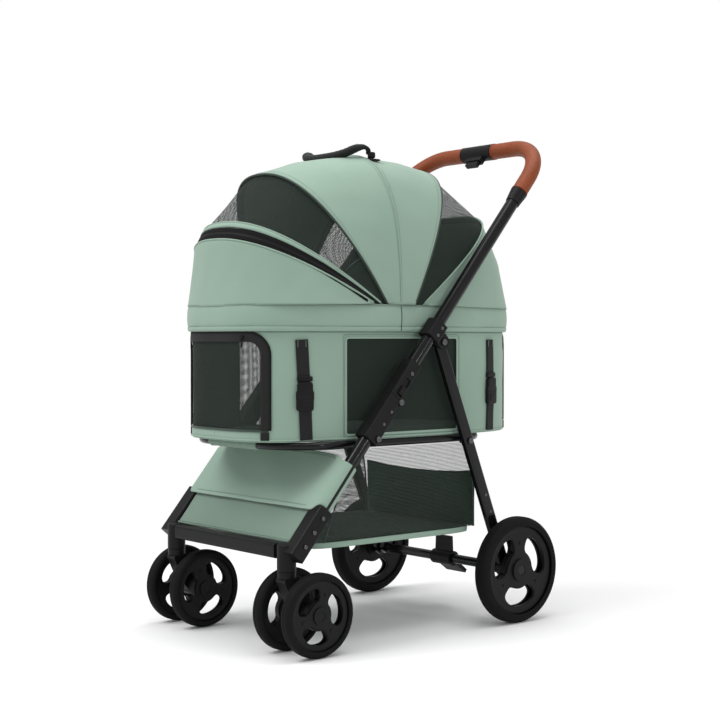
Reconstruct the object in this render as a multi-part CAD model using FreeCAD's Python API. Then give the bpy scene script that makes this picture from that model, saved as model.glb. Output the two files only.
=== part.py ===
"""Pet stroller: wheeled folding frame, lift-off fabric carrier and under-basket.

Millimetres, +Z up, front towards -Y. Side profiles are worked out midway
between the axles (Y = 0) and every piece is moved by Y_MID on export, so that
the origin lands at the bottom centre of the whole object.
"""
import math
import os

import FreeCAD
import Part

V = FreeCAD.Vector
os.makedirs("parts", exist_ok=True)

# ---------------------------------------------------------------- dimensions
Y_MID = 31.2              # middle of the overall length, from the axle midpoint
WHEELBASE_HALF = 261.8    # each axle from Y = 0

REAR_R = 110.0            # rear wheel radius
REAR_W = 35.5             # rear wheel width
REAR_X = 234.2            # rear wheel centre from the middle plane
FRONT_R = 79.0            # front wheel radius
FRONT_W = 27.0            # front wheel width
CASTOR_X = 188.4          # castor axis from the middle plane
TWIN_X = 44.1             # each twin wheel from its castor axis
CASTOR_Y = -300.0         # castor axis, ahead of the wheel axle (trail)

TUBE_R = 13.5             # push tube and front leg radius
TUBE_WALL = 1.6
TUBE_X = 210.0            # side plane of the main tubes
LEAN = math.radians(40)   # main tubes from the vertical
TOP_S = 693.7             # handle crossbar, along the tube from the fold hinge
HANDLE_BEND = 105.0       # handle corner radius
GRIP_S = 550.0            # where the leather grips start
GRIP_R = 17.0
SLEEVE_HALF = 45.0        # half length of the centre sleeve

HINGE = (-50.0, 466.0)    # fold hinge between push tube and front leg (Y, Z)
RING_FRONT = (-110.0, 397.0)   # carrier ring to front leg pivot
RING_REAR = (159.0, 381.0)     # carrier ring to rear leg pivot
LEG_TOP = (72.0, 583.0)        # rear leg to push tube pivot
HINGE_N = 14.0            # fold hinge behind the tube axis

LEG_X = 200.0             # rear leg centre plane
LEG_T = 16.0              # rear leg thickness across X
LEG_W = 26.0              # rear leg width
AXLE_R = 6.0
AXLE_TUBE_R = 10.0

RING_X = 179.0            # carrier ring tube centre line
RING_Y0 = -285.0
RING_Y1 = 248.0
RING_Z = 386.0
RING_R = 7.5
RING_BEND = 95.0

CAB_W = 182.0             # carrier half width
CAB_L = 346.0             # carrier half length
CAB_N = 3.5               # squareness of the plan outline
CAB_Y = 15.0
CAB_Z0 = 396.0
CAB_Z1 = 603.0
CAB_WALL = 4.0
BAND_W = 189.0
BAND_L = 351.0
BAND_Z1 = 657.0
DOOR_X = 127.0            # door half width
DOOR_Z0 = 414.0
DOOR_Z1 = 600.0

FLOOR_Z = 195.0           # basket floor underside
BASKET_X = 178.0
BASKET_Y0 = -236.0
BASKET_Y1 = 204.0
NET_T = 2.4
FIT = 0.05                # radial running clearance

DIR = V(0, math.sin(LEAN), math.cos(LEAN))     # up along the main tubes
NOR = V(0, math.cos(LEAN), -math.sin(LEAN))    # behind and below the tubes
AXIS0 = V(0, HINGE[0], HINGE[1]) - NOR * HINGE_N


# ------------------------------------------------------------------- helpers
def save(shape, node):
    """Move a finished shape into the object frame and write it out."""
    out = shape.copy()
    out.translate(V(0, -Y_MID, 0))
    out.exportStep("parts/" + node + ".step")


def tube_point(x, s, n=0.0):
    """Point at height s along a main tube and n behind its axis."""
    return V(x, 0, 0) + AXIS0 + DIR * s + NOR * n


def x_cyl(x0, x1, y, z, r):
    """Cylinder along X between x0 and x1."""
    return Part.makeCylinder(r, abs(x1 - x0), V(min(x0, x1), y, z), V(1, 0, 0))


def box(x0, x1, y0, y1, z0, z1):
    """Box between two corners, given in any order."""
    lo = V(min(x0, x1), min(y0, y1), min(z0, z1))
    return Part.makeBox(abs(x1 - x0), abs(y1 - y0), abs(z1 - z0), lo)


def lean_box(x0, x1, s0, s1, n0, n1, r=0.0):
    """Box that follows a main tube, with optional rounded long edges."""
    a, b = min(x0, x1), max(x0, x1)
    pts = [tube_point(a, s0, n0), tube_point(b, s0, n0)]
    pts += [tube_point(b, s0, n1), tube_point(a, s0, n1)]
    face = Part.Face(Part.makePolygon(pts + [pts[0]]))
    body = face.extrude(DIR * (s1 - s0))
    if r > 0:
        edges = [e for e in body.Edges if abs(e.Length - abs(s1 - s0)) < 0.01]
        body = body.makeFillet(r, edges)
    return body


def plate(points, x0, x1):
    """Flat plate: a (Y, Z) outline extruded from x0 to x1."""
    a, b = min(x0, x1), max(x0, x1)
    pts = [V(a, y, z) for y, z in points]
    return Part.Face(Part.makePolygon(pts + [pts[0]])).extrude(V(b - a, 0, 0))


def pipe(path, radius):
    """Round bar of one radius along a smooth wire."""
    edge = path.Edges[0]
    start = edge.valueAt(edge.FirstParameter)
    tangent = edge.tangentAt(edge.FirstParameter)
    ring = Part.Wire(Part.makeCircle(radius, start, tangent))
    return path.makePipeShell([ring], True, False)


def outline(half_w, half_l, z):
    """Rounded plan outline of the carrier as a closed wire at height z."""
    pts = []
    steps = 56
    for k in range(steps):
        t = 2 * math.pi * k / steps
        c, s = math.cos(t), math.sin(t)
        x = math.copysign(abs(c) ** (2 / CAB_N), c) * half_w
        y = math.copysign(abs(s) ** (2 / CAB_N), s) * half_l
        pts.append(V(x, CAB_Y + y, z))
    curve = Part.BSplineCurve()
    curve.interpolate(pts, PeriodicFlag=True)
    return Part.Wire(curve.toShape())


def oval_block(half_w, half_l, z0, z1):
    """Solid block with the carrier's plan outline."""
    return Part.Face(outline(half_w, half_l, z0)).extrude(V(0, 0, z1 - z0))


def outline_y(x, half_w, half_l):
    """Half length of the plan outline at a given x."""
    q = min(1.0, abs(x) / half_w)
    return half_l * (1 - q ** CAB_N) ** (1 / CAB_N)


def mirror_x(shape):
    """Mirror image across the middle plane."""
    return shape.mirror(V(0, 0, 0), V(1, 0, 0))


SIDES = (("left", 1), ("right", -1))


def side(shape, sign):
    """The +X shape, or its mirror image for the other side."""
    return shape if sign > 0 else mirror_x(shape)


# -------------------------------------------------------------------- wheels
def tyre(x, y, z, radius, width):
    """Solid tyre with rounded shoulders and two shallow side steps."""
    inner = 0.83 * radius
    body = x_cyl(x - width / 2, x + width / 2, y, z, radius)
    rims = [e for e in body.Edges if isinstance(e.Curve, Part.Circle)]
    body = body.makeFillet(0.33 * width, rims)
    body = body.cut(x_cyl(x - width, x + width, y, z, inner))
    for sgn in (-1, 1):
        face = x + sgn * width / 2
        groove = x_cyl(face - sgn * 1.0, face + sgn, y, z, 0.88 * radius)
        groove = groove.cut(x_cyl(face - 9, face + 9, y, z, 0.855 * radius))
        body = body.cut(groove)
    return body


def hub(x, y, z, radius, width, bore, turn):
    """Three-spoke hub with rounded triangular openings and an axle bore."""
    half = 0.31 * width
    rim_r = 0.83 * radius - FIT
    body = x_cyl(x - half, x + half, y, z, rim_r)
    dish = x_cyl(x + 0.2 * width, x + width, y, z, 0.775 * radius)
    body = body.cut(dish)
    dish = x_cyl(x - 0.2 * width, x - width, y, z, 0.775 * radius)
    body = body.cut(dish)
    near = 0.15 * radius
    far = 1.3 * radius
    for k in range(3):
        tri = [(near, 0.0)]
        tri.append((near + far * 0.5, far * math.sin(math.pi / 3)))
        tri.append((near + far * 0.5, -far * math.sin(math.pi / 3)))
        wedge = plate(tri, -width, width)
        band = x_cyl(-width, width, 0, 0, 0.71 * radius)
        band = band.cut(x_cyl(-width, width, 0, 0, 0.36 * radius))
        hole = wedge.common(band)
        edges = [e for e in hole.Edges if abs(e.Length - 2 * width) < 0.01]
        hole = hole.makeFillet(0.055 * radius, edges)
        hole.rotate(V(0, 0, 0), V(1, 0, 0), turn + 120 * k)
        hole.translate(V(x, y, z))
        body = body.cut(hole)
    boss = x_cyl(x - 0.45 * width, x + 0.45 * width, y, z, 0.21 * radius)
    body = body.fuse(boss)
    body = body.cut(x_cyl(x - width, x + width, y, z, bore + FIT))
    return body


def wheel(name, x, y, radius, width, bore, cap_side, turn):
    """Tyre and hub of one wheel, with a recess for the axle's end cap."""
    save(tyre(x, y, radius, radius, width), "tyre_" + name)
    body = hub(x, y, radius, radius, width, bore, turn)
    face = x + cap_side * 0.45 * width
    recess = x_cyl(face - cap_side * 4.5, face + cap_side * 2, y, radius, bore + 4.5)
    save(body.cut(recess), "hub_" + name)


for tag, sgn in SIDES:
    wheel("rear_" + tag, sgn * REAR_X, WHEELBASE_HALF, REAR_R, REAR_W, AXLE_R, sgn, 30)
    for place, off in (("outer", 1), ("inner", -1)):
        wx = sgn * (CASTOR_X + off * TWIN_X)
        turn = 12 if off > 0 else 50
        name = "front_" + tag + "_" + place
        wheel(name, wx, -WHEELBASE_HALF, FRONT_R, FRONT_W, 5.0, sgn * off, turn)

# ------------------------------------------------------------- castor forks
AX = -WHEELBASE_HALF
for tag, sgn in SIDES:
    cx = sgn * CASTOR_X
    arm = plate([(-318, 149), (-282, 149), (-246, 92), (-250, 66), (-272, 62), (-288, 84)], cx - 14, cx + 14)
    edges = [e for e in arm.Edges if abs(e.Length - 28) < 0.01]
    fork = arm.makeFillet(7, edges)
    fork = fork.fuse(x_cyl(cx - 27, cx + 27, AX, FRONT_R, 19))
    fork = fork.fuse(Part.makeCylinder(17.5, 12, V(cx, CASTOR_Y, 147)))
    fork = fork.fuse(Part.makeCylinder(6, 44, V(cx, CASTOR_Y, 158)))
    fork = fork.fuse(x_cyl(cx - TWIN_X - 11, cx + TWIN_X + 11, AX, FRONT_R, 5))
    for off in (-1, 1):
        end = cx + off * (TWIN_X + 0.45 * FRONT_W)
        fork = fork.fuse(x_cyl(end - off * 3.7, end - off * 0.8, AX, FRONT_R, 8.6))
    save(fork, "castor_fork_" + tag)

# ---------------------------------------------- front legs, sockets, crossbar
for tag, sgn in SIDES:
    start = tube_point(TUBE_X, -364)
    leg = Part.makeCylinder(TUBE_R, 354, start, DIR)
    leg = leg.cut(Part.makeCylinder(TUBE_R - TUBE_WALL, 354, start, DIR))
    save(side(leg, sgn), "front_leg_" + tag)

    socket = lean_box(TUBE_X - 18, TUBE_X + 17, -376, -268, -17, 17, 6)
    housing = Part.makeCylinder(18, 52, V(CASTOR_X, CASTOR_Y, 160))
    cap = housing.Edges[0]
    rims = [e for e in housing.Edges if isinstance(e.Curve, Part.Circle)]
    top = [e for e in rims if e.CenterOfMass.z > 200]
    housing = housing.makeFillet(6, top)
    socket = socket.fuse(housing)
    socket = socket.cut(box(150, 260, -400, -200, 100, 160))
    hole = tube_point(TUBE_X, -364 - FIT)
    socket = socket.cut(Part.makeCylinder(TUBE_R + FIT, 120, hole, DIR))
    socket = socket.cut(Part.makeCylinder(6 + FIT, 48, V(CASTOR_X, CASTOR_Y, 155)))
    for s in (-350, -318, -286):
        rivet = tube_point(TUBE_X, s)
        head = x_cyl(TUBE_X + 16.5, TUBE_X + 18.5, rivet.y, rivet.z, 4)
        socket = socket.fuse(head)
    save(side(socket, sgn), "leg_socket_" + tag)

bar = box(-169.9, 169.9, CASTOR_Y - 16, CASTOR_Y + 16, 182, 210)
edges = [e for e in bar.Edges if abs(e.Length - 339.8) < 0.01]
save(bar.makeFillet(6, edges), "front_crossbar")

# --------------------------------------------------------------- fold joints
for tag, sgn in SIDES:
    hy, hz = HINGE
    pivot_in = x_cyl(TUBE_X - 8, TUBE_X + 8, hy, hz, 7)
    room_in = x_cyl(TUBE_X - 8.3, TUBE_X + 8.3, hy, hz, 7.4)
    lug_a = x_cyl(TUBE_X - 17, TUBE_X - 8.3, hy, hz, 7)
    lug_b = x_cyl(TUBE_X + 8.3, TUBE_X + 17, hy, hz, 7)
    room_a = x_cyl(TUBE_X - 18, TUBE_X - 8, hy, hz, 7.4)
    room_b = x_cyl(TUBE_X + 8, TUBE_X + 18, hy, hz, 7.4)

    low = lean_box(TUBE_X - 17, TUBE_X + 17, -70, -0.4, -17, 12, 4)
    low = low.fuse(lean_box(TUBE_X - 17, TUBE_X + 17, -104, -26, -17, 19, 4))
    low = low.fuse([lug_a, lug_b]).cut(room_in)
    low = low.fuse(x_cyl(TUBE_X - 17, TUBE_X + 17, hy, hz, 3))
    low = low.cut(Part.makeCylinder(TUBE_R + FIT, 120, tube_point(TUBE_X, -130), DIR))
    ry, rz = RING_FRONT
    low = low.cut(x_cyl(TUBE_X - 20, TUBE_X - 9, ry, rz, 4 + FIT))
    head = x_cyl(TUBE_X + 17, TUBE_X + 19.5, ry, rz, 6)
    save(side(low.fuse(head), sgn), "fold_lower_" + tag)

    up = lean_box(TUBE_X - 17, TUBE_X + 17, 0.4, 84, -17, 12, 4)
    up = up.fuse(pivot_in).cut([room_a, room_b])
    up = up.cut(x_cyl(TUBE_X - 20, TUBE_X + 20, hy, hz, 3 + FIT))
    up = up.cut(Part.makeCylinder(TUBE_R + FIT, 120, tube_point(TUBE_X, 10 - FIT), DIR))
    up = up.cut(lean_box(TUBE_X + 14.4, TUBE_X + 20, 6, 46, -6.4, 6.4))
    save(side(up, sgn), "fold_upper_" + tag)

    key = lean_box(TUBE_X + 14.7, TUBE_X + 20.5, 8, 26, -6, 6)
    save(side(key, sgn), "fold_latch_" + tag)

# ------------------------------------------------------ push tube and handle
def handle_path(s0, s1):
    """U-shaped centre line from one side to the other."""
    p = [tube_point(-TUBE_X, s0), tube_point(-TUBE_X, s1 - HANDLE_BEND)]
    p.append(tube_point(HANDLE_BEND - TUBE_X, s1))
    p.append(tube_point(TUBE_X - HANDLE_BEND, s1))
    p.append(tube_point(TUBE_X, s1 - HANDLE_BEND))
    p.append(tube_point(TUBE_X, s0))
    dip = HANDLE_BEND * (1 - math.sqrt(0.5))
    m0 = tube_point(-TUBE_X + dip, s1 - dip)
    m1 = tube_point(TUBE_X - dip, s1 - dip)
    edges = [Part.makeLine(p[0], p[1]), Part.Arc(p[1], m0, p[2]).toShape()]
    edges += [Part.makeLine(p[2], p[3]), Part.Arc(p[3], m1, p[4]).toShape()]
    edges.append(Part.makeLine(p[4], p[5]))
    return Part.Wire(edges)


whole = handle_path(10, TOP_S)
push = pipe(whole, TUBE_R).cut(pipe(whole, TUBE_R - TUBE_WALL))
save(push, "push_tube")


def grip_path():
    """Centre line of one leather grip, from its collar to the sleeve."""
    a = tube_point(TUBE_X, GRIP_S)
    b = tube_point(TUBE_X, TOP_S - HANDLE_BEND)
    dip = HANDLE_BEND * (1 - math.sqrt(0.5))
    m = tube_point(TUBE_X - dip, TOP_S - dip)
    c = tube_point(TUBE_X - HANDLE_BEND, TOP_S)
    d = tube_point(SLEEVE_HALF + 0.2, TOP_S)
    edges = [Part.makeLine(a, b), Part.Arc(b, m, c).toShape(), Part.makeLine(c, d)]
    return Part.Wire(edges)


for tag, sgn in SIDES:
    grip = pipe(grip_path(), GRIP_R).cut(pipe(grip_path(), TUBE_R + FIT))
    save(side(grip, sgn), "grip_" + tag)
    base = tube_point(TUBE_X, GRIP_S - 30)
    collar = Part.makeCone(TUBE_R + 1.6, GRIP_R + 1.2, 29.8, base, DIR)
    collar = collar.cut(Part.makeCylinder(TUBE_R + FIT, 60, base - DIR * 5, DIR))
    save(side(collar, sgn), "collar_" + tag)

mid = tube_point(0, TOP_S)
sleeve = x_cyl(-SLEEVE_HALF, SLEEVE_HALF, mid.y, mid.z, GRIP_R + 1.0)
boss = lean_box(-24, 24, TOP_S - 29, TOP_S - 4, -8, 8, 3)
sleeve = sleeve.fuse(boss)
sleeve = sleeve.cut(x_cyl(-60, 60, mid.y, mid.z, TUBE_R + FIT))
sleeve = sleeve.cut(lean_box(-18.4, 18.4, TOP_S - 40, TOP_S - 16, -5.9, 5.9))
save(sleeve, "handle_sleeve")
key = lean_box(-18, 18, TOP_S - 40, TOP_S - 23, -5.5, 5.5)
edges = [e for e in key.Edges if abs(e.Length - 17) < 0.01]
save(key.makeFillet(2, edges), "fold_trigger")

# ------------------------------------------------------------ upper brackets
ly, lz = LEG_TOP
for tag, sgn in SIDES:
    clamp = lean_box(TUBE_X - 16.5, TUBE_X + 17, 150, 190, -17, 17, 5)
    p_in = [tube_point(0, 152, 10), tube_point(0, 188, 10)]
    p_out = [V(0, ly + 13, lz + 6), V(0, ly + 6, lz - 14), V(0, ly - 12, lz - 9)]
    ring = [(p.y, p.z) for p in p_in + p_out]
    cheek = plate(ring, TUBE_X - 1.7, TUBE_X + 6)
    cheek = cheek.fuse(x_cyl(TUBE_X - 1.7, TUBE_X + 6, ly, lz, 15))
    bracket = clamp.fuse(cheek)
    bracket = bracket.cut(x_cyl(TUBE_X - 20, TUBE_X - 1.7, ly, lz, 14))
    bracket = bracket.fuse(x_cyl(LEG_X - 5, TUBE_X + 8.5, ly, lz, 4))
    bracket = bracket.fuse(x_cyl(TUBE_X + 5, TUBE_X + 8.5, ly, lz, 7))
    bracket = bracket.cut(Part.makeCylinder(TUBE_R + FIT, 90, tube_point(TUBE_X, 130), DIR))
    save(side(bracket, sgn), "upper_bracket_" + tag)

# ------------------------------------------------------ rear legs, axle, brake
AY = WHEELBASE_HALF
run = V(0, AY - ly, REAR_R - lz)
length = run.Length
run.normalize()
across = V(0, run.z, -run.y)
for tag, sgn in SIDES:
    a = V(LEG_X - LEG_T / 2, ly, lz)
    b = a + run * length
    h = LEG_W / 2
    quad = [a + across * h, b + across * h, b - across * h, a - across * h]
    leg = Part.Face(Part.makePolygon(quad + [quad[0]])).extrude(V(LEG_T, 0, 0))
    long = [e for e in leg.Edges if abs(e.Length - length) < 0.01]
    leg = leg.makeFillet(6, long)
    leg = leg.fuse(x_cyl(LEG_X - 8, LEG_X + 8, ly, lz, LEG_W / 2))
    leg = leg.fuse(x_cyl(LEG_X - 8, LEG_X + 8, AY, REAR_R, 19))
    leg = leg.cut(x_cyl(LEG_X - 6.5, LEG_X + 9, ly, lz, 4 + FIT))
    leg = leg.cut(x_cyl(LEG_X - 20, LEG_X + 20, AY, REAR_R, AXLE_R + FIT))
    ring_y = ly + run.y / run.z * (RING_REAR[1] - lz)
    leg = leg.fuse(x_cyl(LEG_X + 7.5, LEG_X + 10.5, ring_y, RING_REAR[1], 7))
    save(side(leg, sgn), "rear_leg_" + tag)

axle = x_cyl(-LEG_X + 8.2, LEG_X - 8.2, AY, REAR_R, AXLE_TUBE_R)
tip = REAR_X + 0.45 * REAR_W
axle = axle.fuse(x_cyl(-tip + 0.8, tip - 0.8, AY, REAR_R, AXLE_R))
for sgn in (-1, 1):
    axle = axle.fuse(x_cyl(sgn * (tip - 3.7), sgn * (tip - 0.8), AY, REAR_R, 9.6))
    stop = x_cyl(sgn * 172, sgn * 184, AY, REAR_R, 14)
    axle = axle.fuse(stop.fuse(box(sgn * 172, sgn * 184, AY - 12, AY + 12, REAR_R, REAR_R + 20)))
save(axle, "rear_axle")

PED0, PED1 = -14.0, 46.0
ped = x_cyl(PED0, PED1, AY, REAR_R, 16)
ped = ped.fuse(plate([(AY - 5, 118), (AY + 5, 118), (AY + 3, 158), (AY - 3, 158)], PED0 + 6, PED1 - 6))
blade = plate([(AY + 2, 100), (AY + 12, 104), (AY + 40, 82), (AY + 36, 75)], PED0, PED1)
ped = ped.fuse(blade)
ped = ped.cut(x_cyl(PED0 - 9, PED1 + 9, AY, REAR_R, AXLE_TUBE_R + FIT))
save(ped, "brake_pedal")

# -------------------------------------------------------------- carrier ring
def ring_path():
    """Rounded rectangle of the carrier ring."""
    x, r, z = RING_X, RING_BEND, RING_Z
    dip = r * (1 - math.sqrt(0.5))
    edges = [Part.makeLine(V(x, 0, z), V(x, RING_Y0 + r, z))]
    arc = [V(x, RING_Y0 + r, z), V(x - dip, RING_Y0 + dip, z), V(x - r, RING_Y0, z)]
    edges.append(Part.Arc(*arc).toShape())
    edges.append(Part.makeLine(V(x - r, RING_Y0, z), V(r - x, RING_Y0, z)))
    arc = [V(r - x, RING_Y0, z), V(dip - x, RING_Y0 + dip, z), V(-x, RING_Y0 + r, z)]
    edges.append(Part.Arc(*arc).toShape())
    edges.append(Part.makeLine(V(-x, RING_Y0 + r, z), V(-x, RING_Y1 - r, z)))
    arc = [V(-x, RING_Y1 - r, z), V(dip - x, RING_Y1 - dip, z), V(r - x, RING_Y1, z)]
    edges.append(Part.Arc(*arc).toShape())
    edges.append(Part.makeLine(V(r - x, RING_Y1, z), V(x - r, RING_Y1, z)))
    arc = [V(x - r, RING_Y1, z), V(x - dip, RING_Y1 - dip, z), V(x, RING_Y1 - r, z)]
    edges.append(Part.Arc(*arc).toShape())
    edges.append(Part.makeLine(V(x, RING_Y1 - r, z), V(x, 0, z)))
    return Part.Wire(edges)


ring = pipe(ring_path(), RING_R)
fy, fz = RING_FRONT
for sgn in (-1, 1):
    lift = [(fy - 9, RING_Z), (fy + 9, RING_Z), (fy + 7, fz), (fy - 7, fz)]
    ear = plate(lift, sgn * 181.5, sgn * 191.5)
    ear = ear.fuse(x_cyl(sgn * 181.5, sgn * 191.5, fy, fz, 7))
    trim = oval_block(CAB_W + 1.0, CAB_L + 1.0, CAB_Z0 - 2, CAB_Z0 + 30)
    ring = ring.fuse(ear.cut(trim))
    ring = ring.fuse(x_cyl(sgn * 186, sgn * 199.5, fy, fz, 4))
    ring = ring.fuse(x_cyl(sgn * 180, sgn * 189.5, RING_REAR[0] - 3, RING_REAR[1], 7))
save(ring, "ring_tube")
wrap = x_cyl(-80, 80, RING_Y0, RING_Z, RING_R + 2.0)
wrap = wrap.cut(x_cyl(-81, 81, RING_Y0, RING_Z, RING_R + FIT))
save(wrap, "ring_sleeve")

# -------------------------------------------------------------------- basket
floor = box(-BASKET_X, BASKET_X, BASKET_Y0, BASKET_Y1, FLOOR_Z, FLOOR_Z + 4)
edges = [e for e in floor.Edges if abs(e.Length - 4) < 0.01]
floor = floor.makeFillet(30, edges)
board = box(-BASKET_X + 10, BASKET_X - 10, BASKET_Y0 + 10, BASKET_Y1 - 10, FLOOR_Z + 4, FLOOR_Z + 5.5)
edges = [e for e in board.Edges if abs(e.Length - 1.5) < 0.01]
save(floor.fuse(board.makeFillet(24, edges)), "basket_floor")
WALL_Z0 = FLOOR_Z + 4.1
WALL_Z1 = RING_Z - RING_R - 3
for tag, sgn in SIDES:
    pts = [(BASKET_Y0 + 36, WALL_Z0), (BASKET_Y1 - 22, WALL_Z0), (BASKET_Y1 - 14, 300)]
    pts += [(BASKET_Y1 - 38, WALL_Z1), (-128, WALL_Z1), (-190, 300)]
    save(plate(pts, sgn * (BASKET_X - NET_T), sgn * BASKET_X), "basket_side_" + tag)

back = []
for k in range(-8, 9):
    u = k / 8.0
    back.append(V(u * 172, 0, 304 + 9 * u * u))
back.append(V(172, 0, WALL_Z0))
back.append(V(-172, 0, WALL_Z0))
back = [V(p.x, BASKET_Y1 - NET_T, p.z) for p in back]
wall = Part.Face(Part.makePolygon(back + [back[0]])).extrude(V(0, NET_T, 0))
save(wall, "basket_rear")

apron = lean_box(-226, 226, -281, -166, -21.5, -19, 0)
step = lean_box(-188, 188, -352, -275, -12, -9.5, 0)
join = lean_box(-188, 188, -281, -275, -21.5, -9.5, 0)
save(apron.fuse([step, join]), "basket_front")

# ------------------------------------------------------------------- carrier
tub = oval_block(CAB_W, CAB_L, CAB_Z0, CAB_Z1)
core = oval_block(CAB_W - CAB_WALL, CAB_L - CAB_WALL, CAB_Z0 + 10, CAB_Z1 + 1)
doorway = box(-DOOR_X, DOOR_X, -500, 500, DOOR_Z0, DOOR_Z1)
shell = tub.cut(core)
save(shell.cut(doorway), "carrier_tub")

band = oval_block(BAND_W, BAND_L, CAB_Z1, BAND_Z1)
band = band.cut(oval_block(BAND_W - 6, BAND_L - 6, CAB_Z1 - 1, BAND_Z1 + 1))
save(band, "carrier_band")

inner_door = box(-DOOR_X + 1, DOOR_X - 1, -500, 500, DOOR_Z0 + 1, DOOR_Z1 - 1)
for tag, y0, y1 in (("front", -500, 0), ("rear", 30, 500)):
    door = shell.common(inner_door).common(box(-200, 200, y0, y1, 300, 700))
    save(door, "door_" + tag)


# canopy bows from front to rear: side end (Y), angle up from the front in
# degrees, reach in the middle, and squareness of the curve
BOWS = [(-95, 0, 241, 2.9), (-92, 26, 272, 2.35), (-72, 31, 290, 2.5), (-58, 55, 309, 2.6)]
BOWS += [(-40, 73.2, 298.6, 2.8), (-21, 88.5, 303, 3.0), (-3, 103, 306.4, 3.1)]
BOWS += [(15, 114.5, 312, 3.2), (37, 142, 320, 3.1), (48, 160.5, 310.3, 3.15), (55, 180, 311, 3.2)]


def bow_curve(bow, grow):
    """One canopy bow, a flat arch from side to side, offset by grow."""
    y_end, angle, reach, n = bow
    a = math.radians(angle)
    pts = []
    steps = 32
    for k in range(steps + 1):
        t = math.pi * k / steps - math.pi / 2
        c, s = math.cos(t), math.sin(t)
        x = math.copysign(abs(s) ** (2 / n), s) * (BAND_W + grow)
        r = abs(c) ** (2 / n) * (reach + grow) if 0 < k < steps else 0.0
        pts.append(V(x, y_end - r * math.cos(a), BAND_Z1 + r * math.sin(a)))
    curve = Part.BSplineCurve()
    curve.interpolate(pts)
    return curve.toShape(), pts[0], pts[-1]


def bow_wire(bow):
    """Closed section at a bow: outer curve, inner curve and the two ends."""
    outer, a0, a1 = bow_curve(bow, 0.0)
    inner, b0, b1 = bow_curve(bow, -CAB_WALL)
    return Part.Wire([outer, Part.makeLine(a1, b1), inner, Part.makeLine(b0, a0)])


for node, first, last in (("canopy_front", 0, 3), ("canopy_arch_front", 3, 5),
                          ("canopy_arch_rear", 5, 7), ("canopy_rear", 7, 10)):
    panel = Part.makeLoft([bow_wire(b) for b in BOWS[first:last + 1]], True, True)
    save(panel, node)

# carry handle on top of the canopy
HY, HZ = -14.0, 965.0
loop = box(-76, 76, HY - 40, HY - 16, HZ - 4, HZ + 6)
edges = [e for e in loop.Edges if abs(e.Length - 152) < 0.01]
loop = loop.makeFillet(4, edges)
for sgn in (-1, 1):
    loop = loop.fuse(box(sgn * 70, sgn * 88, HY - 38, HY, HZ - 4, HZ + 4))
    loop = loop.fuse(x_cyl(sgn * 78, sgn * 88, HY, HZ, 5))
    loop = loop.cut(x_cyl(sgn * 79, sgn * 90, HY, HZ, 2.5 + FIT))
save(loop, "carry_handle")
posts = []
for sgn in (-1, 1):
    foot = box(sgn * 88.6, sgn * 100, HY - 6, HY + 6, 949.8, HZ + 3)
    foot = foot.fuse(x_cyl(sgn * 80, sgn * 92, HY, HZ, 2.5))
    posts.append(foot)
save(Part.makeCompound(posts), "carry_anchors")

# tie straps with side-release buckles at the four corners
for tag, sgn in SIDES:
    for place, y in (("front", -244.0), ("rear", 246.0)):
        u = abs(y - CAB_Y) / CAB_L
        x = CAB_W * (1 - u ** CAB_N) ** (1 / CAB_N)
        nx = (x / CAB_W) ** (CAB_N - 1) / CAB_W
        ny = math.copysign(u ** (CAB_N - 1) / CAB_L, y - CAB_Y)
        turn = math.degrees(math.atan2(ny, nx))
        strap = box(1.6, 4.2, -13, 13, 399, 602)
        strap = strap.fuse(box(1.6, 11, -19, 19, 450, 510))
        strap.rotate(V(0, 0, 0), V(0, 0, 1), turn)
        strap.translate(V(x, y, 0))
        save(side(strap, sgn), "strap_" + place + "_" + tag)
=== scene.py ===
# %% [markdown]
# # A pet stroller, dressed over its frame
# The stroller is a folding tube frame that carries a domed fabric cabin. The
# frame's tubes, sockets and joints are exact solids already, so this lesson
# loads them and spends its effort on cloth, netting, leather, webbing and rubber.
# Every new piece is a surface worked out as arrays, in metres, in the frame's
# own coordinates: front towards -Y, up +Z.

# %% Load the frame
import math
import bmesh
import bpy
import numpy as np
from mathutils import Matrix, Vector


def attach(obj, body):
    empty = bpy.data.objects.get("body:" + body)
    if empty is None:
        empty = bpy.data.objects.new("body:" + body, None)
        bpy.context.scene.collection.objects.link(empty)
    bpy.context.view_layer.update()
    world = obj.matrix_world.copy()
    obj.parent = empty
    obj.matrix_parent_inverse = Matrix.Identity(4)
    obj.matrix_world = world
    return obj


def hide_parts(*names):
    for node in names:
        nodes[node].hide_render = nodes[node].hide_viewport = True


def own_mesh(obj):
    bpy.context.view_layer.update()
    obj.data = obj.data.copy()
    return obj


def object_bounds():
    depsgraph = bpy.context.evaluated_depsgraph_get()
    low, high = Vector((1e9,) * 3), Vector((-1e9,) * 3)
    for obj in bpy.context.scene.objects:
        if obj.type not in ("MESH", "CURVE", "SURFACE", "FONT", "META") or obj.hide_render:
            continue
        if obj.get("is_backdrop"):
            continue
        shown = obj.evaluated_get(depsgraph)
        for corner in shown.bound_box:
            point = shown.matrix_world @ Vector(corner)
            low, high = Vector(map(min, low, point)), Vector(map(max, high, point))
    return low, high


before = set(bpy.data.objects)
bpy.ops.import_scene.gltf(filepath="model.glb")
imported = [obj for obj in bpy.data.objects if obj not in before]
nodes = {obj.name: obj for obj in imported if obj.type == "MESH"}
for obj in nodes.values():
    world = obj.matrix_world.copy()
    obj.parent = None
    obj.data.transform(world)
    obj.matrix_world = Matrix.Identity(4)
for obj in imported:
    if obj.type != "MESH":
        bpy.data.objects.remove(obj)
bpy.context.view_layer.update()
MM = 0.001
SHIFT_Y = -31.2 * MM          # profiles are worked out midway between the axles
POLE_REACH = 2e-5             # a row of points this close together is one pole

# %% [markdown]
# ## Camera, floor and light
# The camera stands a little above the handle's middle and looks along the
# stroller's front corner. Big soft lamps and a white world are how a catalogue
# studio lights black tubes: the lamps show up as long clean highlights.

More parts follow.
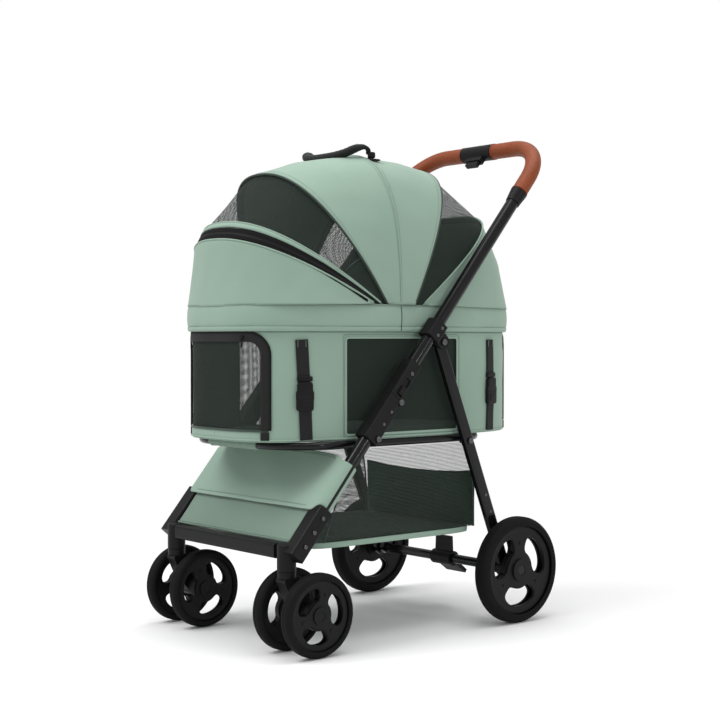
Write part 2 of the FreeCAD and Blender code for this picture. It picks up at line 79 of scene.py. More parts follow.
# %% Camera, floor and lamps
cam_data = bpy.data.cameras.new("camera")
cam = bpy.data.objects.new("camera", cam_data)
bpy.context.scene.collection.objects.link(cam)
cam_data.lens, cam_data.sensor_width = 70.46, 36.0
cam.location = (2.2746, -1.8606 + SHIFT_Y, 0.5894)
turn, dip = math.radians(50.21), math.radians(0.86)
look = Vector((-math.sin(turn) * math.cos(dip), math.cos(turn) * math.cos(dip), -math.sin(dip)))
cam.rotation_mode = "QUATERNION"
cam.rotation_quaternion = look.to_track_quat("-Z", "Y")
bpy.context.scene.camera = cam
bpy.context.scene.view_settings.view_transform = "Standard"


def lamp(name, place, aim, size, power):
    """A square soft lamp at place, turned so that it faces aim."""
    data = bpy.data.lights.new(name, "AREA")
    data.energy, data.size = power, size
    obj = bpy.data.objects.new(name, data)
    bpy.context.scene.collection.objects.link(obj)
    obj.location = place
    obj.rotation_mode = "QUATERNION"
    obj.rotation_quaternion = (Vector(aim) - Vector(place)).to_track_quat("-Z", "Y")


lamp("key", (-0.7, -2.6, 3.7), (0, 0, 0.5), 2.2, 95)
lamp("top", (0.3, 0.4, 3.4), (0, 0, 0.4), 2.4, 50)
lamp("side", (3.4, 0.6, 1.6), (0, 0, 0.6), 0.45, 12)
world = bpy.data.worlds.new("studio")
bpy.context.scene.world = world
world.use_nodes = True
sky = world.node_tree
seen, lit = sky.nodes["Background"], sky.nodes.new("ShaderNodeBackground")
seen.inputs[0].default_value = lit.inputs[0].default_value = (1, 1, 1, 1)
seen.inputs[1].default_value, lit.inputs[1].default_value = 1.0, 0.66
blend = sky.nodes.new("ShaderNodeMixShader")
sky.links.new(sky.nodes.new("ShaderNodeLightPath").outputs["Is Camera Ray"], blend.inputs[0])
sky.links.new(lit.outputs[0], blend.inputs[1])
sky.links.new(seen.outputs[0], blend.inputs[2])
sky.links.new(blend.outputs[0], sky.nodes["World Output"].inputs[0])

# %% [markdown]
# ## Shader maths as Python
# A node tree is hard to read as clicks and harder as links. Wrapping a socket in
# a small class lets `1 - mask * 0.5` build the Math nodes itself, so each finish
# below reads like the formula it is.

# %% Socket wrapper and material maker
class Wire:
    """A shader output; using it in arithmetic adds Math nodes to its tree."""

    def __init__(self, paint, socket):
        self.paint, self.socket = paint, socket

    def maths(self, op, *others):
        """One Math node, fed with this wire or the others in their order."""
        return self.paint.node("ShaderNodeMath", {"operation": op}, *others)

    def __add__(self, b): return self.maths("ADD", self, b)
    def __radd__(self, b): return self.maths("ADD", b, self)
    def __sub__(self, b): return self.maths("SUBTRACT", self, b)
    def __rsub__(self, b): return self.maths("SUBTRACT", b, self)
    def __mul__(self, b): return self.maths("MULTIPLY", self, b)
    def __rmul__(self, b): return self.maths("MULTIPLY", b, self)
    def __truediv__(self, b): return self.maths("DIVIDE", self, b)
    def __gt__(self, b): return self.maths("GREATER_THAN", self, b)
    def __lt__(self, b): return self.maths("LESS_THAN", self, b)
    def __abs__(self): return self.maths("ABSOLUTE", self)
    def __pow__(self, b): return self.maths("POWER", self, b)
    def sin(self): return self.maths("SINE", self)
    def fract(self): return self.maths("FRACT", self)
    def max(self, b): return self.maths("MAXIMUM", self, b)
    def min(self, b): return self.maths("MINIMUM", self, b)


class Paint:
    """One material: a tree that starts empty but for its shader and output."""

    def __init__(self, name, **constants):
        self.mat = bpy.data.materials.new(name)
        self.mat.use_nodes = True
        self.tree = self.mat.node_tree
        self.tree.nodes.clear()
        self.out = self.tree.nodes.new("ShaderNodeOutputMaterial")
        self.bsdf = self.tree.nodes.new("ShaderNodeBsdfPrincipled")
        self.tree.links.new(self.bsdf.outputs[0], self.out.inputs[0])
        for key, value in constants.items():
            self.bsdf.inputs[key.replace("_", " ")].default_value = value

    def node(self, kind, settings=None, *values, out=0, at=(), **named):
        """Any node: settings first, then sockets in order, by number (at) or by name."""
        made = self.tree.nodes.new(kind)
        for key, value in (settings or {}).items():
            if key == "stops":
                ramp = made.color_ramp
                while len(ramp.elements) < len(value):
                    ramp.elements.new(0.5)
                for element, (place, colour) in zip(ramp.elements, value):
                    element.position, element.color = place, colour
            else:
                setattr(made, key, value)
        pairs = list(enumerate(values)) + list(at)
        pairs += [(k.replace("_", " "), v) for k, v in named.items()]
        for key, value in pairs:
            self.plug(made.inputs[key], value)
        return Wire(self, made.outputs[out])

    def plug(self, socket, value):
        """Link a wire, or set a plain value."""
        if isinstance(value, Wire):
            self.tree.links.new(value.socket, socket)
        else:
            socket.default_value = value

    def feed(self, key, value):
        """Feed one input of the material's shader."""
        self.plug(self.bsdf.inputs[key], value)

    def parts(self, vector):
        """The x, y and z of a vector wire."""
        split = self.node("ShaderNodeSeparateXYZ", None, vector).socket.node
        return [Wire(self, s) for s in split.outputs]

    def cloth(self):
        """Metres along and across the piece, from its own UV map."""
        return self.node("ShaderNodeUVMap", {"uv_map": "cloth"})

    def place(self):
        """Metres in the object's own space."""
        return self.node("ShaderNodeTexCoord", None, out=3)

    def noise(self, at, scale, detail=3.0, rough=0.55):
        """Fractal noise, from 0 to 1 about 0.5; scale is cells to the metre."""
        return self.node("ShaderNodeTexNoise", None, Vector=at, Scale=scale, Detail=detail, Roughness=rough)

    def mix(self, factor, a, b):
        """Blend two colours, whose sockets are the node's 6 and 7."""
        return self.node("ShaderNodeMix", {"data_type": "RGBA"}, out=2, at=((0, factor), (6, a), (7, b)))

    def bump(self, height, strength, distance):
        """Feed the shader's normal from a height; distance is in metres."""
        normal = self.node("ShaderNodeBump", None, Height=height, Strength=strength, Distance=distance)
        self.feed("Normal", normal)


def rgb(r, g, b):
    """A linear colour with full alpha."""
    return (r, g, b, 1.0)


# %% [markdown]
# ## Sewn cloth
# The cabin is a plain-woven polyester, slightly melange, that goes matt and a
# little paler where it is lit at a grazing angle. Its weave follows the piece, so
# it reads the piece's own UV map in metres; the broad creases read object space,
# so that they run across seams as real tension does.

# %% Woven fabrics
def woven(name, light, dark, pitch=0.9 * MM, crease=0.35):
    """Plain weave: warp and weft sine ridges that swap over each thread."""
    p = Paint(name, Sheen_Weight=0.18, Sheen_Roughness=0.5, Specular_IOR_Level=0.22)
    u, v, _ = p.parts(p.cloth())
    warp = (u * (math.pi / pitch)).sin()
    weft = (v * (math.pi / pitch)).sin()
    weave = warp * weft
    soft = p.noise(p.place(), 5.0, 2.0)
    slub = p.noise(p.place(), 900.0, 2.0, 0.7)
    folds = p.noise(p.place(), 11.0, 4.0, 0.5)
    shade = (soft - 0.5) * 0.5 + (slub - 0.5) * 0.5 + weave * 0.07 + 0.5
    p.feed("Base Color", p.mix(shade, dark, light))
    p.feed("Roughness", 0.80 + (slub - 0.5) * 0.16)
    p.bump(weave * 0.10 + slub * 0.12 + folds * crease * 6.0, 0.55, 0.9 * MM)
    return p.mat


SAGE_LIGHT, SAGE_DARK = rgb(0.285, 0.400, 0.326), rgb(0.205, 0.298, 0.238)
sage = woven("sage_fabric", SAGE_LIGHT, SAGE_DARK)
sage_band = woven("sage_padded_fabric", SAGE_LIGHT, SAGE_DARK, crease=0.7)
# A darker copy of the sage cloth: its lower colours are painted shade for pieces that sit in shadow.
sage_painted_shade = woven("sage_painted_shade_fabric", rgb(0.190, 0.272, 0.218), rgb(0.134, 0.198, 0.155))
# The inside is the same green cloth as the outside: this lining's dark colour is painted shade for the shaded
# insides of the cabin and basket.
lining = woven("green_lining_painted_shade", rgb(0.066, 0.132, 0.092), rgb(0.042, 0.086, 0.060), crease=0.6)
binding = woven("dark_binding_tape", rgb(0.045, 0.066, 0.052), rgb(0.026, 0.040, 0.032), pitch=0.6 * MM)


def netting(name, pitch=2.3 * MM, gap=0.315):
    """Black net: a square lattice whose cells are clear inside a margin."""
    p = Paint(name, Roughness=0.7, Specular_IOR_Level=0.15)
    u, v, _ = p.parts(p.cloth())
    cu = abs((u / pitch).fract() - 0.5)
    cv = abs((v / pitch + 0.5 * ((u / pitch) * 0.5).fract()).fract() - 0.5)
    hole = (cu < gap) * (cv < gap)
    knot = p.noise(p.place(), 700.0, 1.0)
    p.feed("Base Color", p.mix(knot, rgb(0.016, 0.021, 0.018), rgb(0.037, 0.049, 0.042)))
    p.feed("Alpha", 1.0 - hole)
    p.bump(cu.max(cv), 0.3, 0.3 * MM)
    return p.mat


net = netting("black_net")
net_basket = netting("basket_net", 2.8 * MM, 0.33)


def webbing_finish(name, base=0.010):
    """Nylon webbing: fine ribs across the strap and a zigzag twill along it."""
    p = Paint(name, Sheen_Weight=0.05, Specular_IOR_Level=0.2)
    u, v, _ = p.parts(p.cloth())
    rib = (u * (2 * math.pi / (1.6 * MM))).sin()
    chev = ((u + abs((v / (6 * MM)).fract() - 0.5) * 6 * MM) * (2 * math.pi / (3.2 * MM))).sin()
    fuzz = p.noise(p.place(), 800.0, 2.0)
    shade = fuzz * 0.5 + chev * 0.16 + rib * 0.12 + 0.25
    dark, light = rgb(base * 0.5, base * 0.5, base * 0.52), rgb(base * 1.8, base * 1.8, base * 1.9)
    p.feed("Base Color", p.mix(shade, dark, light))
    p.feed("Roughness", 0.62 + fuzz * 0.2)
    p.bump(rib * 0.5 + chev * 0.5, 0.6, 0.35 * MM)
    return p.mat


webbing = webbing_finish("black_webbing")


def zip_finish():
    """Zip tape with moulded teeth along its middle: teeth are a square wave."""
    p = Paint("zip_tape", Specular_IOR_Level=0.12)
    u, v, _ = p.parts(p.cloth())
    tooth = ((u / (2.4 * MM)).fract() > 0.45)
    middle = abs(v) < 2.2 * MM
    teeth = tooth * middle
    tape = (v * (2 * math.pi / (1.2 * MM))).sin()
    p.feed("Base Color", p.mix(teeth, rgb(0.006, 0.006, 0.006), rgb(0.016, 0.016, 0.016)))
    p.feed("Roughness", 0.85 - teeth * 0.35)
    p.bump(teeth + tape * 0.1 * (1.0 - middle), 0.8, 0.6 * MM)
    return p.mat


zip_tape = zip_finish()


def thread_finish(name, colour, other):
    """Sewing thread: two plies twisted round each other along its length."""
    p = Paint(name, Roughness=0.6)
    x, y, z = p.parts(p.place())
    ply = ((x + y + z) * (2 * math.pi / (0.9 * MM))).sin()
    p.feed("Base Color", p.mix(ply * 0.5 + 0.5, colour, other))
    p.bump(ply, 0.3, 0.15 * MM)
    return p.mat


thread_sage = thread_finish("sage_thread", rgb(0.20, 0.29, 0.23), rgb(0.13, 0.20, 0.16))
thread_tan = thread_finish("tan_thread", rgb(0.30, 0.13, 0.07), rgb(0.20, 0.08, 0.04))

# %% [markdown]
# ## Hard finishes
# The tubes are gloss black enamel with a faint orange peel. The sockets, hubs and
# buckles are glass-filled nylon with a spark-eroded grain, and wear changes their
# tone and gloss in patches. The tyres are soft foam rubber, dusty in patches.

# %% Enamel, moulded plastic, rubber, leather and steel
def enamel():
    """Gloss black enamel: faint orange peel, and dust that dulls it a little."""
    p = Paint("black_enamel", Coat_Weight=0.22, Coat_Roughness=0.05, Specular_IOR_Level=0.15)
    peel = p.noise(p.place(), 220.0, 2.0)
    dust = p.noise(p.place(), 30.0, 4.0, 0.7)
    p.feed("Base Color", p.mix(dust, rgb(0.002, 0.002, 0.003), rgb(0.006, 0.006, 0.007)))
    p.feed("Roughness", 0.15 + dust * 0.12)
    p.bump(peel, 0.05, 0.4 * MM)
    return p.mat


def nylon(name, base, rough, grain=0.25):
    """Moulded nylon: a fine grain, and wear that changes shade and gloss together."""
    p = Paint(name, Specular_IOR_Level=0.13)
    fine = p.noise(p.place(), 1400.0, 2.0, 0.6)
    wear = p.noise(p.place(), 26.0, 5.0, 0.65)
    dark, light = rgb(base * 0.75, base * 0.75, base * 0.78), rgb(base * 1.5, base * 1.5, base * 1.55)
    p.feed("Base Color", p.mix(wear, dark, light))
    p.feed("Roughness", rough + (wear - 0.5) * 0.24)
    p.bump(fine * 0.6 + wear * 0.2, grain, 0.25 * MM)
    return p.mat


def rubber():
    """Foam rubber: matt and pitted, greyer where dust holds."""
    p = Paint("foam_rubber", Specular_IOR_Level=0.12)
    fine = p.noise(p.place(), 700.0, 3.0, 0.7)
    dusty = p.noise(p.place(), 18.0, 4.0, 0.6)
    p.feed("Base Color", p.mix(dusty, rgb(0.003, 0.003, 0.003), rgb(0.009, 0.009, 0.009)))
    p.feed("Roughness", 0.62 + dusty * 0.22)
    p.bump(fine, 0.35, 0.4 * MM)
    return p.mat


def tan_leather():
    """Leather: Voronoi pebbles, pores between them, darker in the creases."""
    p = Paint("tan_leather", Coat_Weight=0.05, Coat_Roughness=0.4, Specular_IOR_Level=0.28)
    pebble = p.node("ShaderNodeTexVoronoi", {"feature": "DISTANCE_TO_EDGE"}, Vector=p.place(), Scale=520.0)
    tone = p.noise(p.place(), 24.0, 4.0, 0.6)
    pores = p.noise(p.place(), 1500.0, 2.0)
    crease = (pebble * 6.0).min(1.0)
    colour = p.mix(tone, rgb(0.195, 0.036, 0.006), rgb(0.325, 0.070, 0.013))
    p.feed("Base Color", p.mix(crease, rgb(0.125, 0.026, 0.006), colour))
    p.feed("Roughness", 0.40 + tone * 0.16 + pores * 0.08)
    p.bump(crease * 0.7 + pores * 0.3, 0.35, 0.35 * MM)
    return p.mat


def steel():
    """Blackened steel with turning marks, for bolt heads."""
    p = Paint("blackened_steel", Metallic=0.85)
    turned = p.noise(p.place(), 300.0, 3.0)
    p.feed("Base Color", p.mix(turned, rgb(0.05, 0.05, 0.055), rgb(0.16, 0.16, 0.165)))
    p.feed("Roughness", 0.28 + turned * 0.18)
    p.bump(turned, 0.1, 0.2 * MM)
    return p.mat


def studio_floor():
    """White paper that fades to pure light away from the stroller."""
    p = Paint("studio_floor", Roughness=0.9)
    x, y, _ = p.parts(p.place())
    faint = p.noise(p.place(), 1.5, 2.0)
    p.feed("Base Color", p.mix(faint, rgb(0.92, 0.92, 0.92), rgb(0.95, 0.95, 0.95)))
    far = ((x * x + y * y) ** 0.5 - 0.62) / 0.75
    paper, glow = Wire(p, p.bsdf.outputs[0]), p.node("ShaderNodeEmission")
    p.plug(p.out.inputs[0], p.node("ShaderNodeMixShader", None, far.max(0.0).min(1.0), paper, glow))
    return p.mat


gloss = enamel()
plastic = nylon("moulded_nylon", 0.0075, 0.42)
hub_plastic = nylon("hub_nylon", 0.0065, 0.36, 0.18)
tyre_rubber, leather, bolt_steel = rubber(), tan_leather(), steel()

# %% [markdown]
# ## Surfaces from arrays
# One helper turns a grid of points into a mesh. It also lays a UV map in metres,
# from the measured lengths along both directions, so that every weave, rib and
# net keeps its true size however the surface bends.

# %% Grid to mesh
def finish(obj, body, material, smooth=True):
    """Material, shading and the body that the piece rides on."""
    for m in material if isinstance(material, (list, tuple)) else [material]:
        obj.data.materials.append(m)
    if smooth:
        obj.data.polygons.foreach_set("use_smooth", np.ones(len(obj.data.polygons), bool))
    if body:
        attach(obj, body)
    return obj


def build(name, verts, faces, uvs=None):
    """Mesh object from arrays; uvs has one pair for each face corner."""
    mesh = bpy.data.meshes.new(name)
    mesh.from_pydata(verts.tolist(), [], faces.tolist())
    if uvs is not None:
        layer = mesh.uv_layers.new(name="cloth")
        layer.data.foreach_set("uv", uvs.astype(np.float32).ravel())
    mesh.update()
    obj = bpy.data.objects.new(name, mesh)
    bpy.context.scene.collection.objects.link(obj)
    return obj


def sheet_grid(name, pts, keep=None, ring_u=False, ring_v=False, centre_v=False):
    """Quads between neighbours of an (nu, nv, 3) grid; UV is length in metres."""
    nu, nv = pts.shape[:2]
    step_u = np.linalg.norm(np.diff(pts, axis=0), axis=2).mean(axis=1)
    step_v = np.linalg.norm(np.diff(pts, axis=1), axis=2).mean(axis=0)
    u = np.concatenate([[0], np.cumsum(step_u)])
    v = np.concatenate([[0], np.cumsum(step_v)])
    if centre_v:
        v = v - v[-1] / 2
    cu, cv = (nu if ring_u else nu - 1), (nv if ring_v else nv - 1)
    i, j = np.meshgrid(np.arange(cu), np.arange(cv), indexing="ij")
    if keep is not None:
        i, j = i[keep[:cu, :cv]], j[keep[:cu, :cv]]
    i, j = i.ravel(), j.ravel()
    a, b = (i + 1) % nu, (j + 1) % nv
    faces = np.stack([i * nv + j, a * nv + j, a * nv + b, i * nv + b], axis=1)
    last_u = u[-1] + (step_u.mean() if ring_u else 0)
    last_v = v[-1] + (step_v.mean() if ring_v else 0)
    u1 = np.append(u, last_u)[i + 1]
    v1 = np.append(v, last_v)[j + 1]
    uvs = np.stack([u[i], v[j], u1, v[j], u1, v1, u[i], v1], axis=1)
    used = np.unique(faces)
    index = np.zeros(nu * nv, int)
    index[used] = np.arange(len(used))
    return build(name, pts.reshape(-1, 3)[used], index[faces], uvs)


def thicken(obj, depth, side=-1.0, lined=False):
    """Give a sheet its cloth thickness, with the lining as its second slot."""
    solid = obj.modifiers.new("cloth thickness", "SOLIDIFY")
    solid.thickness, solid.offset = depth, side
    if lined:
        solid.material_offset = 1
    return obj


def cut_sheet(obj):
    """Read the piece's cloth map and face areas; the piece comes back unchanged."""
    uv = np.empty(len(obj.data.loops) * 2, np.float32)
    obj.data.uv_layers["cloth"].data.foreach_get("uv", uv)
    area = np.empty(len(obj.data.polygons))
    obj.data.polygons.foreach_get("area", area)
    return obj


def smooth_frames(path):
    """Two unit vectors across a path at each of its points, with no sudden twist."""
    tangent = np.gradient(path, axis=0)
    tangent /= np.linalg.norm(tangent, axis=1, keepdims=True)
    spread = np.abs(tangent).mean(axis=0)
    up = np.eye(3)[int(np.argmin(spread))]
    side = np.cross(tangent, up)
    side /= np.maximum(np.linalg.norm(side, axis=1, keepdims=True), 1e-9)
    return side, np.cross(side, tangent)


def tube(name, path, radius, sides=10, closed=False, flat=1.0):
    """A circle carried along a path; both ends are closed by a fan of quads."""
    path = np.asarray(path, float)
    if closed:
        wide = np.concatenate([path[-3:], path, path[:3]])
        side, other = [a[3:-3] for a in smooth_frames(wide)]
    else:
        side, other = smooth_frames(path)
    angle = np.linspace(0, 2 * np.pi, sides, endpoint=False)
    radius = np.broadcast_to(np.asarray(radius, float), (len(path),))[:, None, None]
    rim = side[:, None] * np.cos(angle)[None, :, None] + flat * other[:, None] * np.sin(angle)[None, :, None]
    pts = path[:, None] + radius * rim
    if not closed:
        pts = np.concatenate([path[:1, None].repeat(sides, 1), pts, path[-1:, None].repeat(sides, 1)])
    obj = sheet_grid(name, pts[:, ::-1], ring_u=closed, ring_v=True)
    weld(obj)
    return obj


def weld(obj, reach=1e-6, turn=True):
    """Merge points within reach of each other, and turn the faces outwards."""
    bm = bmesh.new()
    bm.from_mesh(obj.data)
    bmesh.ops.remove_doubles(bm, verts=bm.verts, dist=reach)
    if turn:
        bmesh.ops.recalc_face_normals(bm, faces=bm.faces)
    bm.to_mesh(obj.data)
    bm.free()


def lathe_x(name, profile, centre, sides=72):
    """A (radius, x) profile turned about the X axis through centre."""
    profile = np.asarray(profile, float)
    a = np.linspace(0, 2 * np.pi, sides, endpoint=False)
    x = np.broadcast_to(profile[None, :, 1], (sides, len(profile)))
    r = profile[None, :, 0]
    pts = np.stack([x, r * np.cos(a)[:, None], r * np.sin(a)[:, None]], axis=2)
    obj = sheet_grid(name, pts + np.asarray(centre), ring_u=True, ring_v=False)
    weld(obj)
    return obj


def stitches(name, path, normal, pitch=5.0 * MM, length=3.4 * MM, width=0.9 * MM):
    """Raised dashes along a path: one small six-sided block for each stitch."""
    path, normal = np.asarray(path, float), np.asarray(normal, float)
    run = np.concatenate([[0], np.cumsum(np.linalg.norm(np.diff(path, axis=0), axis=1))])
    at = np.arange(pitch / 2, run[-1], pitch)
    mid = np.stack([np.interp(at, run, path[:, k]) for k in range(3)], axis=1)
    ahead = np.stack([np.interp(at + 1e-4, run, path[:, k]) for k in range(3)], axis=1)
    along = ahead - mid
    along /= np.maximum(np.linalg.norm(along, axis=1, keepdims=True), 1e-12)
    up = np.stack([np.interp(at, run, normal[:, k]) for k in range(3)], axis=1)
    up /= np.linalg.norm(up, axis=1, keepdims=True)
    across = np.cross(up, along)
    corner = np.array([(a, b, c) for a in (-1, 1) for b in (-1, 1) for c in (-1, 1)], float)
    pts = mid[:, None] + along[:, None] * corner[None, :, :1] * length / 2
    pts = pts + across[:, None] * corner[None, :, 1:2] * width / 2 * (1 - 0.35 * (corner[None, :, 2:] > 0))
    pts = pts + up[:, None] * corner[None, :, 2:] * 0.45 * MM
    quad = np.array([(0, 1, 3, 2), (4, 6, 7, 5), (0, 4, 5, 1), (2, 3, 7, 6), (0, 2, 6, 4), (1, 5, 7, 3)])
    faces = (np.arange(len(at))[:, None, None] * 8 + quad[None]).reshape(-1, 4)
    obj = build(name, pts.reshape(-1, 3), faces)
    weld(obj)
    return obj


def real(points):
    """Millimetres midway between the axles to metres in the stroller's frame."""
    return np.asarray(points, float) * MM + np.array([0, SHIFT_Y, 0])


def smooth_path(points, count=60, closed=False):
    """A Catmull-Rom curve: each span blends cubics through its four neighbours."""
    p = np.asarray(points, float)
    if closed:
        p = np.concatenate([p[-1:], p, p[:2]])
    else:
        p = np.concatenate([2 * p[:1] - p[1:2], p, 2 * p[-1:] - p[-2:-1]])
    spans = len(p) - 3
    t = np.linspace(0, spans, count, endpoint=not closed)
    k = np.minimum(t.astype(int), spans - 1)
    f = (t - k)[:, None]
    a, b, c, d = p[k], p[k + 1], p[k + 2], p[k + 3]
    return 0.5 * (2 * b + (c - a) * f + (2 * a - 5 * b + 4 * c - d) * f ** 2 + (3 * b - a - 3 * c + d) * f ** 3)


def ribbon(name, path, normal, width, thick, crown=0.0, closed=False):
    """A flat strap: a crowned strip across the path, then given its thickness."""
    path, normal = np.asarray(path, float), np.asarray(normal, float)
    ring = np.concatenate([path[-1:], path, path[:1]]) if closed else path
    tangent = np.gradient(ring, axis=0)
    tangent = tangent[1:-1] if closed else tangent
    across = np.cross(normal, tangent)
    across /= np.maximum(np.linalg.norm(across, axis=1, keepdims=True), 1e-12)
    v = np.linspace(-1, 1, 7)
    pts = path[:, None] + across[:, None] * (v * width / 2)[None, :, None]
    pts = pts + normal[:, None] * ((thick + crown * (1 - v ** 4)))[None, :, None]
    obj = sheet_grid(name, pts, ring_u=closed, centre_v=True)
    return thicken(obj, thick)


def superblock(centre, half, spin=0.0, power=0.3, axes=None):
    """A superquadric block: a ball's coordinates raised to a small power."""
    a = np.linspace(-np.pi / 2, np.pi / 2, 13)
    b = np.linspace(-np.pi, np.pi, 24, endpoint=False)
    a, b = np.meshgrid(a, b, indexing="ij")
    bend = lambda q: np.sign(q) * np.abs(q) ** power
    pts = np.stack([bend(np.cos(a)) * bend(np.cos(b)), bend(np.cos(a)) * bend(np.sin(b)), bend(np.sin(a))], axis=2)
    pts = pts.reshape(-1, 3) * np.asarray(half, float)
    c, s = math.cos(spin), math.sin(spin)
    turned = axes if axes is not None else np.array([[c, s, 0], [-s, c, 0], [0, 0, 1]])
    i, j = np.meshgrid(np.arange(12), np.arange(24), indexing="ij")
    i, j = i.ravel(), j.ravel()
    k = (j + 1) % 24
    faces = np.stack([i * 24 + j, i * 24 + k, (i + 1) * 24 + k, (i + 1) * 24 + j], axis=1)
    return pts @ turned + np.asarray(centre, float), faces


def assemble(name, parts):
    """Join (points, faces) blocks, given in millimetres, into one object."""
    verts, faces, base = [], [], 0
    for v, f in parts:
        verts.append(v)
        faces.append(f + base)
        base += len(v)
    obj = build(name, real(np.concatenate(verts)), np.concatenate(faces))
    weld(obj)
    return obj


print("helpers ready")

# %% [markdown]
# ## The cabin's plan outline
# Seen from above the cabin is a rounded rectangle, which a superellipse gives in
# one line. Its parameter bunches up at the corners, so the outline is measured
# once and every seam, window and strap is placed by its distance round the wall.

# %% Plan outline measured by its own length
SQUARE, MID_Y = 3.5, 15.0


def plan(half_w, half_l):
    """Front centre to rear centre along +X: points, and the length to each."""
    t = np.linspace(-np.pi / 2, np.pi / 2, 24001)
    c, s = np.maximum(np.cos(t), 0), np.sin(t)
    x = c ** (2 / SQUARE) * half_w
    y = MID_Y + np.sign(s) * np.abs(s) ** (2 / SQUARE) * half_l
    run = np.concatenate([[0], np.cumsum(np.hypot(np.diff(x), np.diff(y)))])
    even = np.linspace(0, run[-1], 3000)
    return np.interp(even, run, x), np.interp(even, run, y), even


PX, PY_, PS = plan(182.0, 346.0)
HALF_RUN = PS[-1]
run_at_y = lambda y: float(np.interp(y, PY_, PS))
run_at_x = lambda x: float(np.interp(x, PX[:1000], PS[:1000]))


def round_wall(s, z, out=0.0):
    """Points and outward normals on the wall: s along it from the front centre."""
    s, z, out = np.broadcast_arrays(np.asarray(s, float), np.asarray(z, float), np.asarray(out, float))
    w = np.mod(s + HALF_RUN, 2 * HALF_RUN) - HALF_RUN
    a = np.abs(w)
    x, y = np.interp(a, PS, PX), np.interp(a, PS, PY_)
    dx = np.interp(a + 2, PS, PX) - np.interp(a - 2, PS, PX)
    dy = np.interp(a + 2, PS, PY_) - np.interp(a - 2, PS, PY_)
    size = np.maximum(np.hypot(dx, dy), 1e-9)
    nx, ny = dy / size, -dx / size
    flip = np.where(w < 0, -1.0, 1.0)
    pts = np.stack([flip * (x + nx * out), y + ny * out, z], axis=-1)
    return pts, np.stack([flip * nx, ny, np.zeros_like(nx)], axis=-1)


def steps(*stops):
    """Grid lines that hit every stop: (from, to, count) runs laid end to end."""
    lines = [np.linspace(a, b, n, endpoint=False) for a, b, n in stops]
    return np.concatenate(lines + [[stops[-1][1]]])


def ripple(s, z, size):
    """Soft puckers: a few sine waves of unrelated lengths added together."""
    wave = np.sin(s / 23.0 + z / 41.0) + 0.7 * np.sin(s / 13.0 - z / 29.0 + 1.3) + 0.5 * np.sin(z / 17.0 + s / 57.0)
    return size * wave


DOOR_S = run_at_x(127.0) + 6.0
WIN_S0, WIN_S1 = run_at_y(-150.0), run_at_y(142.0)
REAR_S = HALF_RUN - DOOR_S
Z_BASE, Z_SILL, Z_HEAD, Z_BAND = 396.0, 414.0, 600.0, 603.5
WIN_Z0, WIN_Z1 = 404.0, 592.0
DOOR_ROUND = 42.0
print("wall half length", round(HALF_RUN), "mm; window", round(WIN_S1 - WIN_S0), "mm")

# %% [markdown]
# ## The cabin wall
# One wall of cloth runs round each side, with openings left for the door at each
# end and the net window in the middle. It could be four flat panels, but a single
# grid with cells left out keeps the corners truly round, and lets the cloth
# puff out a little between its seams. The lining is the Solidify's second slot.

# %% Cabin wall, both sides
def side_wall(tag, sign):
    """Half the wall, with cells left out for its window and for half of each door.

    It puffs out by sin(height) times sin(run) between a door and the window.
    """
    s = steps((0, DOOR_S, 36), (DOOR_S, WIN_S0, 26), (WIN_S0, WIN_S1, 30),
              (WIN_S1, REAR_S, 26), (REAR_S, HALF_RUN, 36))
    z = steps((Z_BASE, WIN_Z0, 3), (WIN_Z0, Z_SILL, 3), (Z_SILL, WIN_Z1, 48),
              (WIN_Z1, Z_HEAD, 3), (Z_HEAD, Z_BAND, 1))
    S, Z = np.meshgrid(s, z, indexing="ij")
    tall = np.sin(np.pi * np.clip((Z - Z_BASE) / (Z_BAND - Z_BASE), 0, 1))
    gap = lambda a, b: np.sin(np.pi * np.clip((S - a) / (b - a), 0, 1))
    puff = 2.2 * tall * (gap(DOOR_S, WIN_S0) + gap(WIN_S1, REAR_S))
    pts, _ = round_wall(sign * S, Z, puff + ripple(S, Z, 0.35) * tall)
    sc, zc = S + 0.01, Z + 0.01
    window = (sc > WIN_S0) & (sc < WIN_S1) & (zc > WIN_Z0) & (zc < WIN_Z1)
    door = ((sc < DOOR_S) | (sc > REAR_S)) & (zc > Z_SILL) & (zc < Z_HEAD)
    along = np.minimum(sc, HALF_RUN - sc)
    corner = np.hypot(np.maximum(along + 1.5 - (DOOR_S - DOOR_ROUND), 0),
                      np.maximum(zc + 1.5 - (Z_HEAD - DOOR_ROUND), 0))
    keep = ~(window | (door & (corner < DOOR_ROUND - 4)))
    pts = real(pts)
    if sign < 0:
        pts, keep = pts[::-1], np.roll(keep, 1, axis=0)[::-1]
    wall = sheet_grid("cabin_wall_" + tag, pts, keep)
    thicken(wall, 2.2 * MM, lined=True)
    return cut_sheet(finish(wall, "carrier", [sage, lining]))


walls = [side_wall("left", 1), side_wall("right", -1)]
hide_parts("carrier_tub")

# %% [markdown]
# ## Net windows and doors
# The windows are one layer of black net, bound at the edge. A net drawn as a
# grey see-through sheet looks like glass; a lattice cut out in the Alpha lets the
# far side show through it and makes the same shimmer as two real nets do.

# %% Net windows, bindings and seams
def on_wall(s, z, out):
    """A path on the wall in metres, with its normals."""
    pts, normal = round_wall(s, z, out)
    return real(pts), normal


def box_path(s0, s1, z0, z1, r, n=10):
    """A rounded rectangle in wall coordinates, as closed s and z arrays."""
    a = np.linspace(0, np.pi / 2, n)
    corners = [(s1 - r, z0 + r, -90), (s1 - r, z1 - r, 0), (s0 + r, z1 - r, 90), (s0 + r, z0 + r, 180)]
    ss, zz = [], []
    for cs, cz, deg in corners:
        t = a + math.radians(deg)
        ss.append(cs + r * np.cos(t))
        zz.append(cz + r * np.sin(t))
    s, z = np.concatenate(ss), np.concatenate(zz)
    s, z = np.append(s, s[0]), np.append(z, z[0])
    run = np.concatenate([[0], np.cumsum(np.hypot(np.diff(s), np.diff(z)))])
    even = np.linspace(0, run[-1], 240, endpoint=False)
    return np.interp(even, run, s), np.interp(even, run, z)


